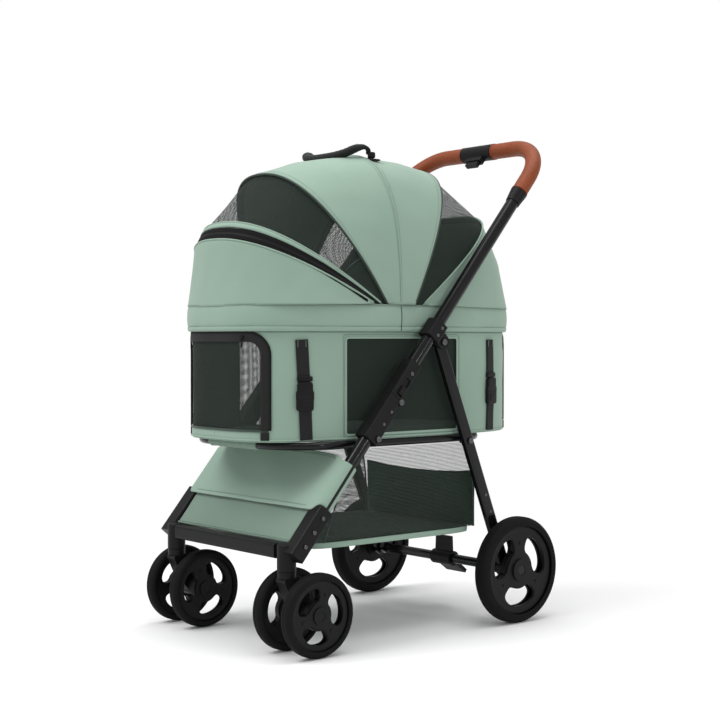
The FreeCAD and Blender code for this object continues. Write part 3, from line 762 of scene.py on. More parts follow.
for tag, sign in (("left", 1), ("right", -1)):
    s = np.linspace(WIN_S0 - 3, WIN_S1 + 3, 44)
    z = np.linspace(WIN_Z0 - 3, WIN_Z1 + 3, 26)
    S, Z = np.meshgrid(s, z, indexing="ij")
    inset = -2.6 - 1.2 * np.sin(np.pi * (Z - z[0]) / (z[-1] - z[0]))
    pts = real(round_wall(sign * S, Z, inset)[0])
    window = sheet_grid("window_net_" + tag, pts if sign > 0 else pts[::-1])
    cut_sheet(finish(window, "carrier", net))
    s, z = box_path(WIN_S0, WIN_S1, WIN_Z0, WIN_Z1, 6)
    path, normal = on_wall(sign * s, z, 0.2)
    edge = ribbon("window_binding_" + tag, path, normal, 4.5 * MM, 0.8 * MM, 0.2 * MM, closed=True)
    finish(edge, "carrier", sage_band)
    s, z = box_path(WIN_S0 - 6, WIN_S1 + 6, WIN_Z0 - 4, WIN_Z1 + 6, 8)
    path, normal = on_wall(sign * s, z, 0.9)
    finish(stitches("window_stitches_" + tag, path, normal), "carrier", thread_sage)

base_line = real(round_wall(np.linspace(0, 2 * HALF_RUN, 260, endpoint=False), 397.8, 0.5)[0])
hem = tube("cabin_base_piping", base_line, 2.0 * MM, closed=True)
finish(hem, "carrier", sage_band)


def arch_path(half, low, high, r, n=14):
    """Up one side, round two corners and down the other: s and z arrays."""
    a = np.linspace(0, np.pi / 2, n)
    s = np.concatenate([[half], half - r + r * np.cos(a), [0]])
    z = np.concatenate([[low], high - r + r * np.sin(a), [high]])
    s, z = np.concatenate([s, -s[-2::-1]]), np.concatenate([z, z[-2::-1]])
    run = np.concatenate([[0], np.cumsum(np.hypot(np.diff(s), np.diff(z)))])
    even = np.linspace(0, run[-1], 200)
    return np.interp(even, run, s), np.interp(even, run, z)


def end_door(tag, body, centre, node, cloth):
    """A door in an end wall: net or cloth, bound by a wide tape over its arch.

    The tape runs on below the door's hinge as a tail sewn to the wall.
    """
    half = DOOR_S - 1.5
    across = np.linspace(-half + 3, half - 3, 60)
    z = np.linspace(416.5, 594, 34)
    S, Z = np.meshgrid(centre + across, z, indexing="ij")
    sag = -1.2 - 2.0 * np.sin(np.pi * (Z - 416) / 178) * np.cos(np.pi * (S - centre) / (2 * half))
    off = np.abs(S - centre)
    corner = np.hypot(np.maximum(off - (half - DOOR_ROUND), 0), np.maximum(Z - (Z_HEAD - DOOR_ROUND), 0))
    keep = corner < DOOR_ROUND - 6
    panel = sheet_grid("door_panel_" + tag, real(round_wall(S, Z, sag)[0]), keep)
    if cloth is not net:
        thicken(panel, 1.8 * MM, lined=True)
    finish(panel, body, cloth)
    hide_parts(node)
    cut_sheet(panel)
    arch_s, arch_z = arch_path(half - 8.5, 397.5, 592.5, DOOR_ROUND - 8)
    tail = arch_z < 415.5
    for name, chosen, owner in (("tape", arch_z > 415.5, body), ("tail_a", tail & (arch_s > 0), "carrier"),
                                ("tail_b", tail & (arch_s < 0), "carrier")):
        path, normal = on_wall(centre + arch_s[chosen], arch_z[chosen], 0.9)
        tape = ribbon("door_" + name + "_" + tag, path, normal, 17 * MM, 1.2 * MM, 0.9 * MM)
        finish(tape, owner, webbing)
    arch_s, arch_z = arch_path(half + 0.5, 416.5, 600.5, DOOR_ROUND)
    path, normal = on_wall(centre + arch_s, arch_z, 1.6)
    finish(ribbon("door_zip_" + tag, path, normal, 7 * MM, 0.8 * MM), "carrier", zip_tape)
    path, normal = on_wall(centre + across, np.full(60, 415.6), 1.5)
    finish(ribbon("door_sill_" + tag, path, normal, 4 * MM, 0.8 * MM), body, binding)
    mid, out = round_wall(centre + 84.0, 593.0, 4.2)
    spin = math.atan2(out[1], out[0]) + math.pi / 2
    pull = [superblock(mid, (5, 2.0, 3), spin, 0.5), superblock(mid + [0, 0, -11], (2.4, 0.9, 9), spin, 0.4)]
    finish(assemble("door_zip_pull_" + tag, pull), body, plastic)


end_door("front", "front_door", 0.0, "door_front", net)
end_door("rear", "rear_door", HALF_RUN, "door_rear", [sage, lining])

# %% [markdown]
# ## The padded band
# A padded belt of cloth stiffens the cabin's rim and hides the canopy's track. Its
# section is a soft D with a sewn groove near the lower edge, carried round the
# outline; a bevelled box would look like plastic trim.

# %% Padded band with its groove and stitches
BAND_SECTION = np.array([(-3.5, 607), (1.5, 603.6), (5.2, 603.8), (7.6, 606), (8.6, 609.5),
                         (8.0, 612.6), (6.7, 613.8), (7.9, 615.2), (8.9, 621), (9.3, 631),
                         (8.9, 641), (8.0, 649), (6.6, 654), (4.2, 656.8), (-3.0, 657.5)])
s = np.linspace(0, 2 * HALF_RUN, 300, endpoint=False)
S, K = np.meshgrid(s, np.arange(len(BAND_SECTION)), indexing="ij")
soft = 0.35 * np.sin(S / 19.0) * np.sin(np.pi * K / 14) + 0.25 * np.sin(S / 7.7 + 2) * (K > 6) * (K < 13)
band_pts = real(round_wall(S, BAND_SECTION[K, 1], BAND_SECTION[K, 0] + soft)[0])
band = thicken(sheet_grid("cabin_band", band_pts, ring_u=True), 1.8 * MM, lined=True)
finish(band, "carrier", [sage_band, lining])
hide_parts("carrier_band")
path, normal = on_wall(s, 613.6, 7.3)
finish(stitches("band_stitches", path, normal), "carrier", thread_sage)
path, normal = on_wall(s, 655.0, 6.9)
# The top piping takes the darker sage copy, whose colour is painted shade.
finish(tube("band_top_piping", path, 1.3 * MM, closed=True), "carrier", sage_painted_shade)
for tag, sign in (("left", 1), ("right", -1)):
    z = np.linspace(605, 656, 20)
    section = np.interp(z, BAND_SECTION[1:-1, 1], BAND_SECTION[1:-1, 0])
    path, normal = on_wall(sign * run_at_y(-18.0), z, section + 0.2)
    finish(tube("band_side_seam_" + tag, path, 0.9 * MM), "carrier", binding)
print("band made")

# %% [markdown]
# ## The canopy
# The canopy's wires are flat arches from side to side. They lean forwards or back
# from their own ends on the cabin's rim, and cloth is stretched between one arch
# and the next. So the surface is blended from arch to arch, which gives the flat
# facets that taut cloth has and a true dome would not.

# %% Canopy surface
BASE_Z = 657.0
# arches from front to rear: number, side end (Y), lean in degrees, reach, squareness, half width
ARCHES = np.array([(0, -95, 0, 241, 2.9, 189), (24, -88, 26, 275, 2.35, 187), (31, -66, 31, 292, 2.5, 183),
                   (55, -48, 55.5, 309, 2.35, 180), (73, -37, 73.2, 299, 2.6, 184), (88, -21, 88.5, 303, 3.0, 189),
                   (103, -3, 103, 306.4, 3.1, 189), (115, 15, 114.5, 312, 3.2, 189), (142, 37, 142, 320, 3.1, 189),
                   (160, 48, 160.5, 310.3, 3.15, 189), (180, 55, 180, 311, 3.2, 189)])
BOW_GRID = np.linspace(-1, 1, 401)


def arch_points(end_y, lean, reach, square, half_w):
    """One arch sampled evenly by its own length, as an (n, 3) array in mm."""
    t = np.linspace(-np.pi / 2, np.pi / 2, 12001)
    x = np.sign(np.sin(t)) * np.abs(np.sin(t)) ** (2 / square) * half_w
    r = np.maximum(np.cos(t), 0) ** (2 / square) * reach
    run = np.concatenate([[0], np.cumsum(np.hypot(np.diff(x), np.diff(r)))])
    run = run / run[-1] * 2 - 1
    x, r = np.interp(BOW_GRID, run, x), np.interp(BOW_GRID, run, r)
    a = math.radians(lean)
    return np.stack([x, end_y - r * math.cos(a), BASE_Z + r * math.sin(a)], axis=-1)


ARCH_POINTS = np.array([arch_points(*row[1:]) for row in ARCHES])


def dome_raw(p, swing):
    """Blend of the two arches on either side, at bow position p in -1..1."""
    p, swing = np.broadcast_arrays(np.asarray(p, float), np.asarray(swing, float))
    k = np.clip(np.searchsorted(ARCHES[:, 0], swing, side="right") - 1, 0, len(ARCHES) - 2)
    f = (swing - ARCHES[k, 0]) / (ARCHES[k + 1, 0] - ARCHES[k, 0])
    at = (p + 1) * 200
    i = np.clip(at.astype(int), 0, 399)
    g = (at - i)[..., None]
    low = ARCH_POINTS[k, i] * (1 - g) + ARCH_POINTS[k, i + 1] * g
    high = ARCH_POINTS[k + 1, i] * (1 - g) + ARCH_POINTS[k + 1, i + 1] * g
    return low + (high - low) * f[..., None]


def dome_normal(p, swing):
    """Outward normals from the surface's two slopes."""
    p, swing = np.broadcast_arrays(np.asarray(p, float), np.asarray(swing, float))
    q = np.clip(p, -0.985, 0.985)
    du = dome_raw(q + 8e-3, swing) - dome_raw(q - 8e-3, swing)
    dv = dome_raw(q, swing + 1.5) - dome_raw(q, swing - 1.5)
    n = np.cross(du, dv)
    return n / np.maximum(np.linalg.norm(n, axis=-1, keepdims=True), 1e-12)


def dome(p, swing, grow=0.0):
    """Points on the canopy in metres, raised by grow millimetres."""
    grow = np.asarray(grow, float)
    return real(dome_raw(p, swing) + dome_normal(p, swing) * grow[..., None])


EDGES = {"panel_front": 24.5, "zip_front": 27.2, "net_front": 30.6, "arch_front": 55.0, "seam": 88.0,
         "arch_rear": 115.0, "panel_rear": 142.0}
edge_at = lambda name, p: np.full(np.shape(p), EDGES[name])
P_LINE = np.linspace(-1, 1, 121)


def canopy_strip(name, low, high, rows, grow, dip, materials, slot, node=None):
    """A strip between two edges; it dips between them as taut cloth does."""
    p, f = np.meshgrid(P_LINE, np.linspace(0, 1, rows), indexing="ij")
    a = low if np.isscalar(low) else edge_at(low[0], p) + low[1]
    b = high if np.isscalar(high) else edge_at(high[0], p) + high[1]
    crease = 0.5 * np.sin(p * 21 + f * 3) + 0.35 * np.sin(p * 37 - f * 5 + 1)
    lift = grow - dip * np.sin(np.pi * f) + crease * np.sin(np.pi * f)
    obj = sheet_grid(name, dome(p, a + (b - a) * f, lift))
    weld(obj, POLE_REACH, turn=False)
    if isinstance(materials, list):
        thicken(obj, 1.8 * MM, lined=True)
    finish(obj, "carrier", materials)
    if node:
        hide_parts(node)
    return cut_sheet(obj) if rows > 4 else obj


cloth_pair, green = [sage, lining], "fabric_green"
for strip in (
    ("canopy_front_panel", -1.0, ("panel_front", 0), 26, 3.6, 0.8, cloth_pair, green, "canopy_front"),
    ("canopy_rear_panel", ("panel_rear", 0), 181.0, 26, 3.6, 0.8, cloth_pair, green, "canopy_rear"),
    ("canopy_arch_front_half", ("arch_front", 0), ("seam", 0), 30, 5.6, 1.2, cloth_pair, green, "canopy_arch_front"),
    ("canopy_arch_rear_half", ("seam", 0), ("arch_rear", 0), 26, 5.6, 1.0, cloth_pair, green, "canopy_arch_rear"),
    ("canopy_net_front", ("net_front", -1.5), ("arch_front", 3), 22, 1.5, 1.5, net, "mesh_black"),
    ("canopy_net_rear", ("arch_rear", -3), ("panel_rear", 2), 22, 1.5, 1.5, net, "mesh_black"),
    ("canopy_visor_lip", ("net_front", -0.6), ("net_front", 1.6), 4, 3.8, -0.8, cloth_pair, green),
):
    canopy_strip(*strip)

# %% Canopy piping, zip and seam
P_IN = np.linspace(-0.985, 0.985, 150)
for name, key, extra, grow, radius in (
    ("arch_front_wire", "arch_front", -0.2, 4.4, 2.2), ("arch_rear_wire", "arch_rear", 0.2, 4.4, 2.2),
    ("arch_seam_piping", "seam", 0, 5.6, 1.4), ("panel_front_piping", "panel_front", 0, 3.8, 1.7),
    ("visor_piping", "net_front", 1.6, 3.8, 1.7), ("panel_rear_piping", "panel_rear", 0, 3.8, 2.0),
):
    path = dome(P_IN, edge_at(key, P_IN) + extra, grow)
    paint = binding if "wire" in name else sage_band
    finish(tube(name, path, radius * MM, 8), "carrier", paint)
P_ZIP = np.linspace(-0.93, 0.93, 180)
swing = edge_at("zip_front", P_ZIP)
zip_strip = ribbon("canopy_zip", dome(P_ZIP, swing, 2.6), dome_normal(P_ZIP, swing), 24 * MM, 0.9 * MM)
finish(zip_strip, "carrier", zip_tape)
for name, key, off in (("a", "arch_front", 1.8), ("b", "arch_rear", -1.6), ("c", "seam", 1.1), ("d", "seam", -1.1)):
    swing = edge_at(key, P_IN) + off
    path = dome(P_IN, swing, 5.5)
    finish(stitches("arch_stitches_" + name, path, dome_normal(P_IN, swing)), "carrier", thread_sage)
print("canopy made")

# %% [markdown]
# ## Carry handle, straps and buckles
# The carry handle is a soft padded grip sewn into a webbing loop, and it lies
# forward on the canopy. Each corner strap is a flat ribbon that follows the wall,
# with a side-release buckle made from rounded blocks: two shells, two prongs and
# a slider that takes up the slack.

# %% Carry handle
HANDLE = [(-84, -14, 965), (-88, -19, 973), (-87, -30, 977), (-79, -45, 973), (-60, -57, 965), (-30, -61, 961.5),
          (0, -62, 961),
          (30, -61, 961.5), (60, -57, 965), (79, -45, 973), (87, -30, 977), (88, -19, 973), (84, -14, 965)]
line = real(smooth_path(HANDLE, 90))
u = np.linspace(-1, 1, 90)
fat = np.where(np.abs(u) < 0.60, 1.0, 0.0)
fat = np.convolve(np.pad(fat, 5, mode="edge"), np.ones(11) / 11, mode="valid")
swell = 5.0 + 5.0 * fat + 0.35 * np.sin(u * 90) * fat
grip = tube("carry_grip_pad", line, swell * MM, 20, flat=0.85)
finish(grip, "carry_grip", webbing)
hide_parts("carry_handle")
normal = np.tile([0, 0, 1.0], (90, 1))
row = stitches("carry_grip_stitches", line[20:-20] + [0, 0, 8.4 * MM], normal[20:-20], 4.2 * MM)
finish(row, "carry_grip", thread_sage)
anchor = []
for sign in (-1, 1):
    anchor.append(superblock((sign * 93.5, -14, 961), (6.0, 7.0, 6.5), 0, 0.45))
    tilt = np.array([[1, 0, -sign * 0.16], [0, 1, 0], [sign * 0.16, 0, 1]])
    anchor.append(superblock((sign * 97, -14, 952), (13, 12, 2.2), 0, 0.35, tilt))
anchors = finish(assemble("carry_handle_anchors", anchor), "carrier", plastic)
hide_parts("carry_anchors")

# %% Corner straps and side-release buckles
for tag, sign in (("left", 1), ("right", -1)):
    for place, y_top, y_low in (("front", -244.0, -235.0), ("rear", 246.0, 246.0)):
        z = np.linspace(588, 398, 90)
        s_line = np.linspace(run_at_y(y_top), run_at_y(y_low), 90)
        s = float(np.interp(480, z[::-1], s_line[::-1]))
        slack = 2.4 + 1.0 * np.sin((z - 398) / 190 * np.pi) + 3.2 * np.exp(-((z - 480) / 26) ** 2)
        pts, normal = round_wall(sign * s_line, z, slack)
        strap = ribbon("strap_" + place + "_webbing_" + tag, real(pts), normal, 25 * MM, 1.5 * MM)
        finish(strap, "carrier", webbing)
        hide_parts("strap_" + place + "_" + tag)
        at, out = round_wall(sign * s, 480.0, 6.6)
        spin = math.atan2(out[1], out[0]) - math.pi / 2
        tangent = np.array([math.cos(spin), math.sin(spin), 0])
        block = lambda along, up, half, lift=0.0, power=0.28: superblock(
            at + tangent * along + out * lift + [0, 0, up], half, spin, power)
        parts = [block(0, -12, (17.0, 4.2, 15)), block(0, 14, (15.5, 3.8, 12)), block(0, 34, (15.5, 2.8, 5), -1)]
        parts += [block(k * 15.0, 1, (2.8, 3.0, 10), 0.4, 0.5) for k in (-1, 1)]
        parts += [block(0, -13, (9, 1.2, 7), 4.0, 0.4), block(0, 26, (14, 1.6, 2.0), 3.0, 0.5)]
        parts += [block(0, 36, (13, 1.0, 1.6), 1.8)]
        buckle = assemble("buckle_" + place + "_" + tag, parts)
        finish(buckle, "carrier", plastic)
        z = np.linspace(586, 574, 10)
        for k in (-8, 8):
            pts, normal = round_wall(sign * run_at_y(y_top), z, 5.0)
            row_name = "strap_" + place + "_bar_" + tag + ("_a" if k < 0 else "_b")
            row = stitches(row_name, real(pts + tangent * k), normal, 3 * MM)
            finish(row, "carrier", thread_sage)
print("straps made")

# %% [markdown]
# ## Cabin floor and mat
# The cabin's floor is a lined board with a quilted mat on it. The mat is the one
# stuffed piece inside, so it is inflated: a thin closed pillow gets cloth pressure
# for a few frames, which pulls its sides in between the corners by itself.

# %% Cabin floor board and mat
def filled_plan(name, inset, z_edge, z_mid, rings=16, count=120):
    """The plan outline shrunk towards the middle in rings, crowned in height."""
    s = np.linspace(0, 2 * HALF_RUN, count, endpoint=False)
    k = np.linspace(1, 0, rings)
    rim = round_wall(s, 0.0, -inset)[0]
    pts = rim[:, None] * k[None, :, None]
    pts[..., 1] += MID_Y * (1 - k)[None, :]
    pts[..., 2] = z_mid + (z_edge - z_mid) * k[None, :] ** 6
    obj = sheet_grid(name, real(pts), ring_u=True)
    weld(obj, POLE_REACH, turn=False)
    return obj


board = filled_plan("cabin_floor_board", 1.5, 396.3, 396.3)
finish(thicken(board, 2.6 * MM), "carrier", sage)
mat_top = filled_plan("cabin_mat", 10.0, 400.6, 406.0, 22, 150)
mat_low = filled_plan("cabin_mat_under", 10.0, 400.4, 399.6, 22, 150)
mat_low.data.flip_normals()
bpy.ops.object.select_all(action="DESELECT")
mat_low.select_set(True)
mat_top.select_set(True)
bpy.context.view_layer.objects.active = mat_top
bpy.ops.object.join()
mat = mat_top
weld(mat)
rest = np.empty(len(mat.data.vertices) * 3)
mat.data.vertices.foreach_get("co", rest)
rest = rest.reshape(-1, 3)
bpy.context.view_layer.objects.active = mat
puff = mat.modifiers.new("stuffing", "CLOTH")
puff.settings.use_pressure, puff.settings.uniform_pressure_force = True, 3.0
puff.settings.quality, puff.settings.mass = 4, 0.3
puff.settings.effector_weights.gravity = 0.0
puff.point_cache.frame_start, puff.point_cache.frame_end = 1, 12
for step in range(1, 13):
    bpy.context.scene.frame_set(step)
bpy.ops.object.modifier_apply(modifier=puff.name)
bpy.context.scene.frame_set(1)
moved = np.empty(len(mat.data.vertices) * 3)
mat.data.vertices.foreach_get("co", moved)
moved = moved.reshape(-1, 3) - rest
far = np.maximum(np.linalg.norm(moved, axis=1, keepdims=True), 1e-9)
rest = rest + moved * np.minimum(far, 4 * MM) / far
quilt = np.abs(np.sin(rest[:, 0] * 42)) * np.abs(np.sin((rest[:, 1] + 0.016) * 42))
rest[:, 2] += np.where(rest[:, 2] > 0.4005, (quilt ** 0.5 - 1) * 2.2 * MM, 0)
rest[:, 2] = np.clip(rest[:, 2], 0.3992, 0.4095)
mat.data.vertices.foreach_set("co", rest.ravel())
mat.data.update()
# The mat takes the lining's dark green, which is painted shade.
finish(mat, "carrier", lining)
print("mat made", len(mat.data.vertices))

# %% [markdown]
# ## The under-basket
# The basket hangs from the carrier ring: a floor, net at the sides, a rear wall
# whose top edge sags between the legs, and a green front panel in two tiers that
# wraps over both front legs. The floor and the rear wall are green cloth whose
# dark colour is painted shade.

# %% Basket floor, nets and rear wall
def gather(obj):
    """Give a hanging piece its own copy of its mesh."""
    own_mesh(obj)
    return obj


x, y = np.meshgrid(np.linspace(-178, 178, 40), np.linspace(-236, 204, 48), indexing="ij")
square = (np.abs(x) / 178) ** 8 + (np.abs(y + 16) / 220) ** 8
k = 1 / np.maximum(1, square ** (1 / 8))
x, y = x * k, (y + 16) * k - 16
board = 1 / (1 + np.exp(-np.minimum(169 - np.abs(x), 211 - np.abs(y + 16)) / 1.2))
z = 199.4 + 1.7 * board + 0.25 * np.sin(x / 19) * np.sin(y / 31)
# The basket floor is green cloth whose dark lining colour is painted shade.
floor = thicken(sheet_grid("basket_floor_cloth", real(np.stack([x, y, z], axis=-1))), 1.6 * MM)
finish(floor, "dock", lining)
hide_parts("basket_floor")
cut_sheet(floor)
gather(floor)
edge = np.stack([np.concatenate([x[:, 0], x[-1, 1:], x[-2::-1, -1], x[0, -2:0:-1]]),
                 np.concatenate([y[:, 0], y[-1, 1:], y[-2::-1, -1], y[0, -2:0:-1]])], axis=1)
edge = real(np.column_stack([edge, np.full(len(edge), 198.6)]))
ring = np.concatenate([edge[-1:], edge, edge[:1]])
along = (ring[2:] - ring[:-2]) / np.linalg.norm(ring[2:] - ring[:-2], axis=1, keepdims=True)
outward = np.cross(along, [0, 0, 1.0])
if np.sum(outward * (edge - edge.mean(axis=0))) < 0:
    outward = -outward
hem = ribbon("basket_floor_hem", edge - [0, 0, 3.2 * MM], outward, 11 * MM, 1.2 * MM, 0.5 * MM, closed=True)
gather(finish(hem, "dock", sage))
for tag, sign in (("left", 1), ("right", -1)):
    z, f = np.meshgrid(np.linspace(200, 377, 26), np.linspace(0, 1, 60), indexing="ij")
    low = -200 + (z - 200) * 72 / 177
    high = 196 - 20 * ((z - 200) / 177) ** 2 + 2 * np.sin(np.pi * (z - 200) / 177)
    y = low + (high - low) * f
    bulge = 6.0 * np.sin(np.pi * (z - 200) / 177) * np.sin(np.pi * f) + 0.8 * np.sin(y / 23 + z / 31)
    pts = real(np.stack([sign * (173 + bulge), y, z], axis=-1))
    side = sheet_grid("basket_net_" + tag, pts if sign < 0 else pts[::-1])
    finish(side, "dock", net_basket)
    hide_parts("basket_side_" + tag)
    cut_sheet(side)
    gather(side)
    for name, rim in (("front", pts[:, 0]), ("rear", pts[:, -1])):
        bound = tube("basket_binding_" + name + "_" + tag, rim, 1.6 * MM, 8)
        gather(finish(bound, "dock", binding))
u, f = np.meshgrid(np.linspace(-1, 1, 50), np.linspace(0, 1, 22), indexing="ij")
top = 304 + 9 * u ** 2
z = 199.5 + (top - 199.5) * f
y = 201 - 5.0 * np.sin(np.pi * f) * (1 - u ** 2) + 1.2 * np.sin(u * 14 + f * 3) * f
# The rear wall is green cloth whose dark lining colour is painted shade.
wall = thicken(sheet_grid("basket_rear_wall", real(np.stack([-u * 172, y, z], axis=-1))), 1.6 * MM)
finish(wall, "dock", lining)
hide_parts("basket_rear")
cut_sheet(wall)
gather(wall)
rim = real(np.stack([-u[:, -1] * 172, y[:, -1], z[:, -1]], axis=-1))
gather(finish(tube("basket_rear_rim", rim, 2.4 * MM, 8), "dock", binding))

# %% Basket front panel, two tiers
LEAN = math.radians(40)
ALONG, BEHIND = np.array([0, math.sin(LEAN), math.cos(LEAN)]), np.array([0, math.cos(LEAN), -math.sin(LEAN)])
AXIS0 = np.array([0, -50.0, 466.0]) - BEHIND * 14


def leg_plane(x, s, n):
    """Points at height s along the main tubes and n behind their axis."""
    x, s, n = np.broadcast_arrays(np.asarray(x, float), np.asarray(s, float), np.asarray(n, float))
    return real(x[..., None] * [1, 0, 0] + AXIS0 + s[..., None] * ALONG + n[..., None] * BEHIND)


u, f = np.meshgrid(np.linspace(-1, 1, 120), np.linspace(0, 1, 34), indexing="ij")
WRAP_R, FLAT = 19.4, 204.0
arc = np.clip(np.abs(u) * 252 - FLAT, 0, 60) / WRAP_R
x = np.sign(u) * (np.minimum(np.abs(u) * 252, FLAT) + WRAP_R * np.sin(arc))
between = np.clip(1 - (np.abs(x) / 204) ** 2, 0, 1)
n = -WRAP_R * np.cos(arc) + 1.0 * between * np.sin(np.pi * f) + 0.6 * np.sin(x / 27 + f * 7) * between
low = -281 + 16 * np.clip(arc / 0.6, 0, 1)
s = low + (-166 + 17 * between ** 0.3 - low) * f
tier = thicken(sheet_grid("basket_front_upper", leg_plane(x, s, n)), 1.6 * MM, lined=True)
finish(tier, "front_frame", [sage, lining])
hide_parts("basket_front")
cut_sheet(tier)
up = np.tile(-BEHIND, (len(x), 1))
for name, row in (("low", 2), ("top", 31)):
    path = leg_plane(x[:, row], s[:, row], n[:, row] - 0.6)[16:-16]
    finish(stitches("basket_front_stitches_" + name, path, up[16:-16]), "front_frame", thread_sage)
# The lower tier and its hem take the darker sage copy, whose colour is painted shade under the ring.
x = u * 189
n = -11.5 + 2.5 * (1 - u ** 2) * np.sin(np.pi * f) + 0.6 * np.sin(x / 31 + f * 5)
s = -352.5 + 77.5 * f
tier = thicken(sheet_grid("basket_front_lower", leg_plane(x, s, n)), 1.6 * MM, lined=True)
cut_sheet(finish(tier, "front_frame", [sage_painted_shade, lining]))
path = leg_plane(x[:, 2], s[:, 2], n[:, 2] - 0.6)
finish(stitches("basket_lower_stitches", path, up), "front_frame", thread_sage)
hem = tube("basket_lower_hem", leg_plane(x[:, 0], s[:, 0] + 2, n[:, 0]), 1.8 * MM, 8)
finish(hem, "front_frame", sage_painted_shade)
print("basket made")

# %% [markdown]
# ## Ring sleeve and leather grips
# Both are covers drawn over a tube. The ring's sleeve is loose and gathers into
# rings; the grips are stretched leather with a closing seam sewn on the inside of
# the bend, where the hand doesn't feel it.

# %% Cover over the ring's front bow
bow_line = real(np.column_stack([np.linspace(80, -80, 60), np.full(60, -285.0), np.full(60, 386.0)]))
k = np.arange(len(bow_line))
# The sleeve takes the darker sage copy, whose colour is painted shade.
sleeve = tube("ring_cloth_sleeve", bow_line, (9.2 + 0.5 * np.sin(k * 1.9) + 0.4 * np.sin(k * 0.7)) * MM, 16)
finish(sleeve, "dock", sage_painted_shade)
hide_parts("ring_sleeve")

# %% Leather grips with their closing seam
TOP_S, BEND, TUBE_X = 693.7, 105.0, 210.0
for tag, sign in (("left", 1), ("right", -1)):
    a = np.linspace(0, np.pi / 2, 30)
    up_x = np.concatenate([np.full(16, TUBE_X), TUBE_X - BEND + BEND * np.cos(a),
                           np.linspace(TUBE_X - BEND, 46.2, 30)[1:]])
    up_s = np.concatenate([np.linspace(551, TOP_S - BEND, 17)[:-1], TOP_S - BEND + BEND * np.sin(a),
                           np.full(29, TOP_S)])
    path = leg_plane(sign * up_x, up_s, 0)
    r = np.full(len(path), 17.0)
    r[0] = r[-1] = 15.2
    r[1] = r[-2] = 16.6
    cover = tube("leather_grip_" + tag, path, r * MM, 32)
    finish(cover, "push_frame", leather)
    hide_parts("grip_" + tag)
    down = np.tile(BEHIND, (len(path), 1))
    seam = path + BEHIND * 17.0 * MM
    row = stitches("grip_stitches_" + tag, seam[2:-2], down[2:-2], 6 * MM, 4 * MM, 1.2 * MM)
    finish(row, "push_frame", thread_tan)
    for name, at in (("low", 1), ("high", len(path) - 2)):
        ring = path[at]
        axis = path[at + 1] - path[at - 1]
        axis /= np.linalg.norm(axis)
        side = np.cross(axis, BEHIND)
        t = np.linspace(0, 2 * np.pi, 40, endpoint=False)
        rim = ring + 16.9 * MM * (np.cos(t)[:, None] * side + np.sin(t)[:, None] * BEHIND)
        edge = tube("grip_edge_" + name + "_" + tag, rim, 1.3 * MM, 8, closed=True)
        finish(edge, "push_frame", leather)
print("grips made")

# %% [markdown]
# ## Wheels
# The hubs are exact already. The tyres are turned from a profile with rounded
# shoulders, a bead line on the sidewall and shallow grooves round the tread, and
# each hub gets a moulded face on both sides, with three rounded windows in it.

# %% Tyres and wheel faces
AXLE_WAY = np.array([[0, 1, 0], [0, 0, 1], [1, 0, 0]])      # a block's flat side turned to face along X


def tyre_profile(radius, width):
    """Half a section: sidewall, shoulder as an elliptic quarter, grooved tread."""
    half, inner, round_r = width / 2, 0.83 * radius, 0.36 * width
    a = np.linspace(0, np.pi / 2, 12)
    wall = np.array([(inner, half - 3.0), (inner + 0.5, half - 1.2), (inner + 1.5, half - 0.5),
                     (0.875 * radius, half - 0.3), (0.88 * radius, half - 1.1), (0.888 * radius, half - 0.2)])
    turn_out = np.column_stack([radius - round_r + round_r * np.sin(a), half - round_r + round_r * np.cos(a)])
    wall = wall[wall[:, 0] < turn_out[0, 0]]
    flat = np.linspace(half - round_r, 0, 15)[1:]
    groove = 1.1 * np.maximum(0, np.cos(flat * 2 * np.pi / (half - round_r))) ** 4
    tread = np.column_stack([radius - groove * (flat < half - round_r - 0.6), flat])
    right = np.concatenate([wall, turn_out, tread])
    left = right[-2::-1] * [1, -1]
    return np.concatenate([right, left])


def wheel_faces(name, x, y, radius, width, turn):
    """A disc on each side of the hub, with three windows.

    In (distance from axle, angle) a window is a superellipse W and its third of
    the disc is a rectangle S. Each ray from the window's middle meets both, and
    the face is P = W + (S - W) t; the rows before t = 0 turn in as the window's wall.
    """
    ray = np.linspace(0, 2 * np.pi, 96, endpoint=False)[:, None]
    c, s = np.cos(ray), np.sin(ray)
    t = np.concatenate([[0, 0, 0, 0.05], np.linspace(0.12, 1, 9)])[None, :]
    sunk = np.concatenate([[6.0, 3.0, 0.9, 0.15], np.zeros(9)])[None, :]
    soft = lambda q: np.sign(q) * np.abs(q) ** 0.62
    edge = np.maximum(np.abs(c), np.abs(s))
    window_r, window_a = 0.505 + 0.18 * soft(c), math.radians(42) * soft(s)
    disc_r, disc_a = 0.485 + 0.345 * c / edge, math.radians(60) * s / edge
    r = window_r + (disc_r - window_r) * t
    a = window_a + (disc_a - window_a) * t
    lip = 0.8 * np.exp(-((r - 0.79) / 0.02) ** 2) + 1.2 * np.exp(-(r / 0.24) ** 4)
    i, j = np.meshgrid(np.arange(96), np.arange(t.size - 1), indexing="ij")
    i, j = i.ravel(), j.ravel()
    k = (i + 1) % 96
    quads = np.stack([i * t.size + j, k * t.size + j, k * t.size + j + 1, i * t.size + j + 1], axis=1)
    parts = []
    for side in (1, -1):
        for third in range(3):
            b = a + math.radians(turn + 120 * third)
            face = x + side * (0.31 * width + lip - sunk)
            pts = np.stack([face, y + radius * r * np.cos(b), radius + radius * r * np.sin(b)], axis=-1)
            parts.append((pts.reshape(-1, 3), quads if side > 0 else quads[:, ::-1]))
            spoke = math.radians(turn + 60 + 120 * third)
            d = np.array([0, math.cos(spoke), math.sin(spoke)])
            head = np.array([x + side * (0.31 * width + 0.6), y, radius]) + d * 0.5 * radius
            parts.append(superblock(head, (3.0, 3.0, 1.1), 0, 0.8, AXLE_WAY))
        cap = (x + side * (0.31 * width + 0.8), y, radius)
        parts.append(superblock(cap, (0.20 * radius, 0.20 * radius, 2.4), 0, 0.75, AXLE_WAY))
    return assemble(name, parts)


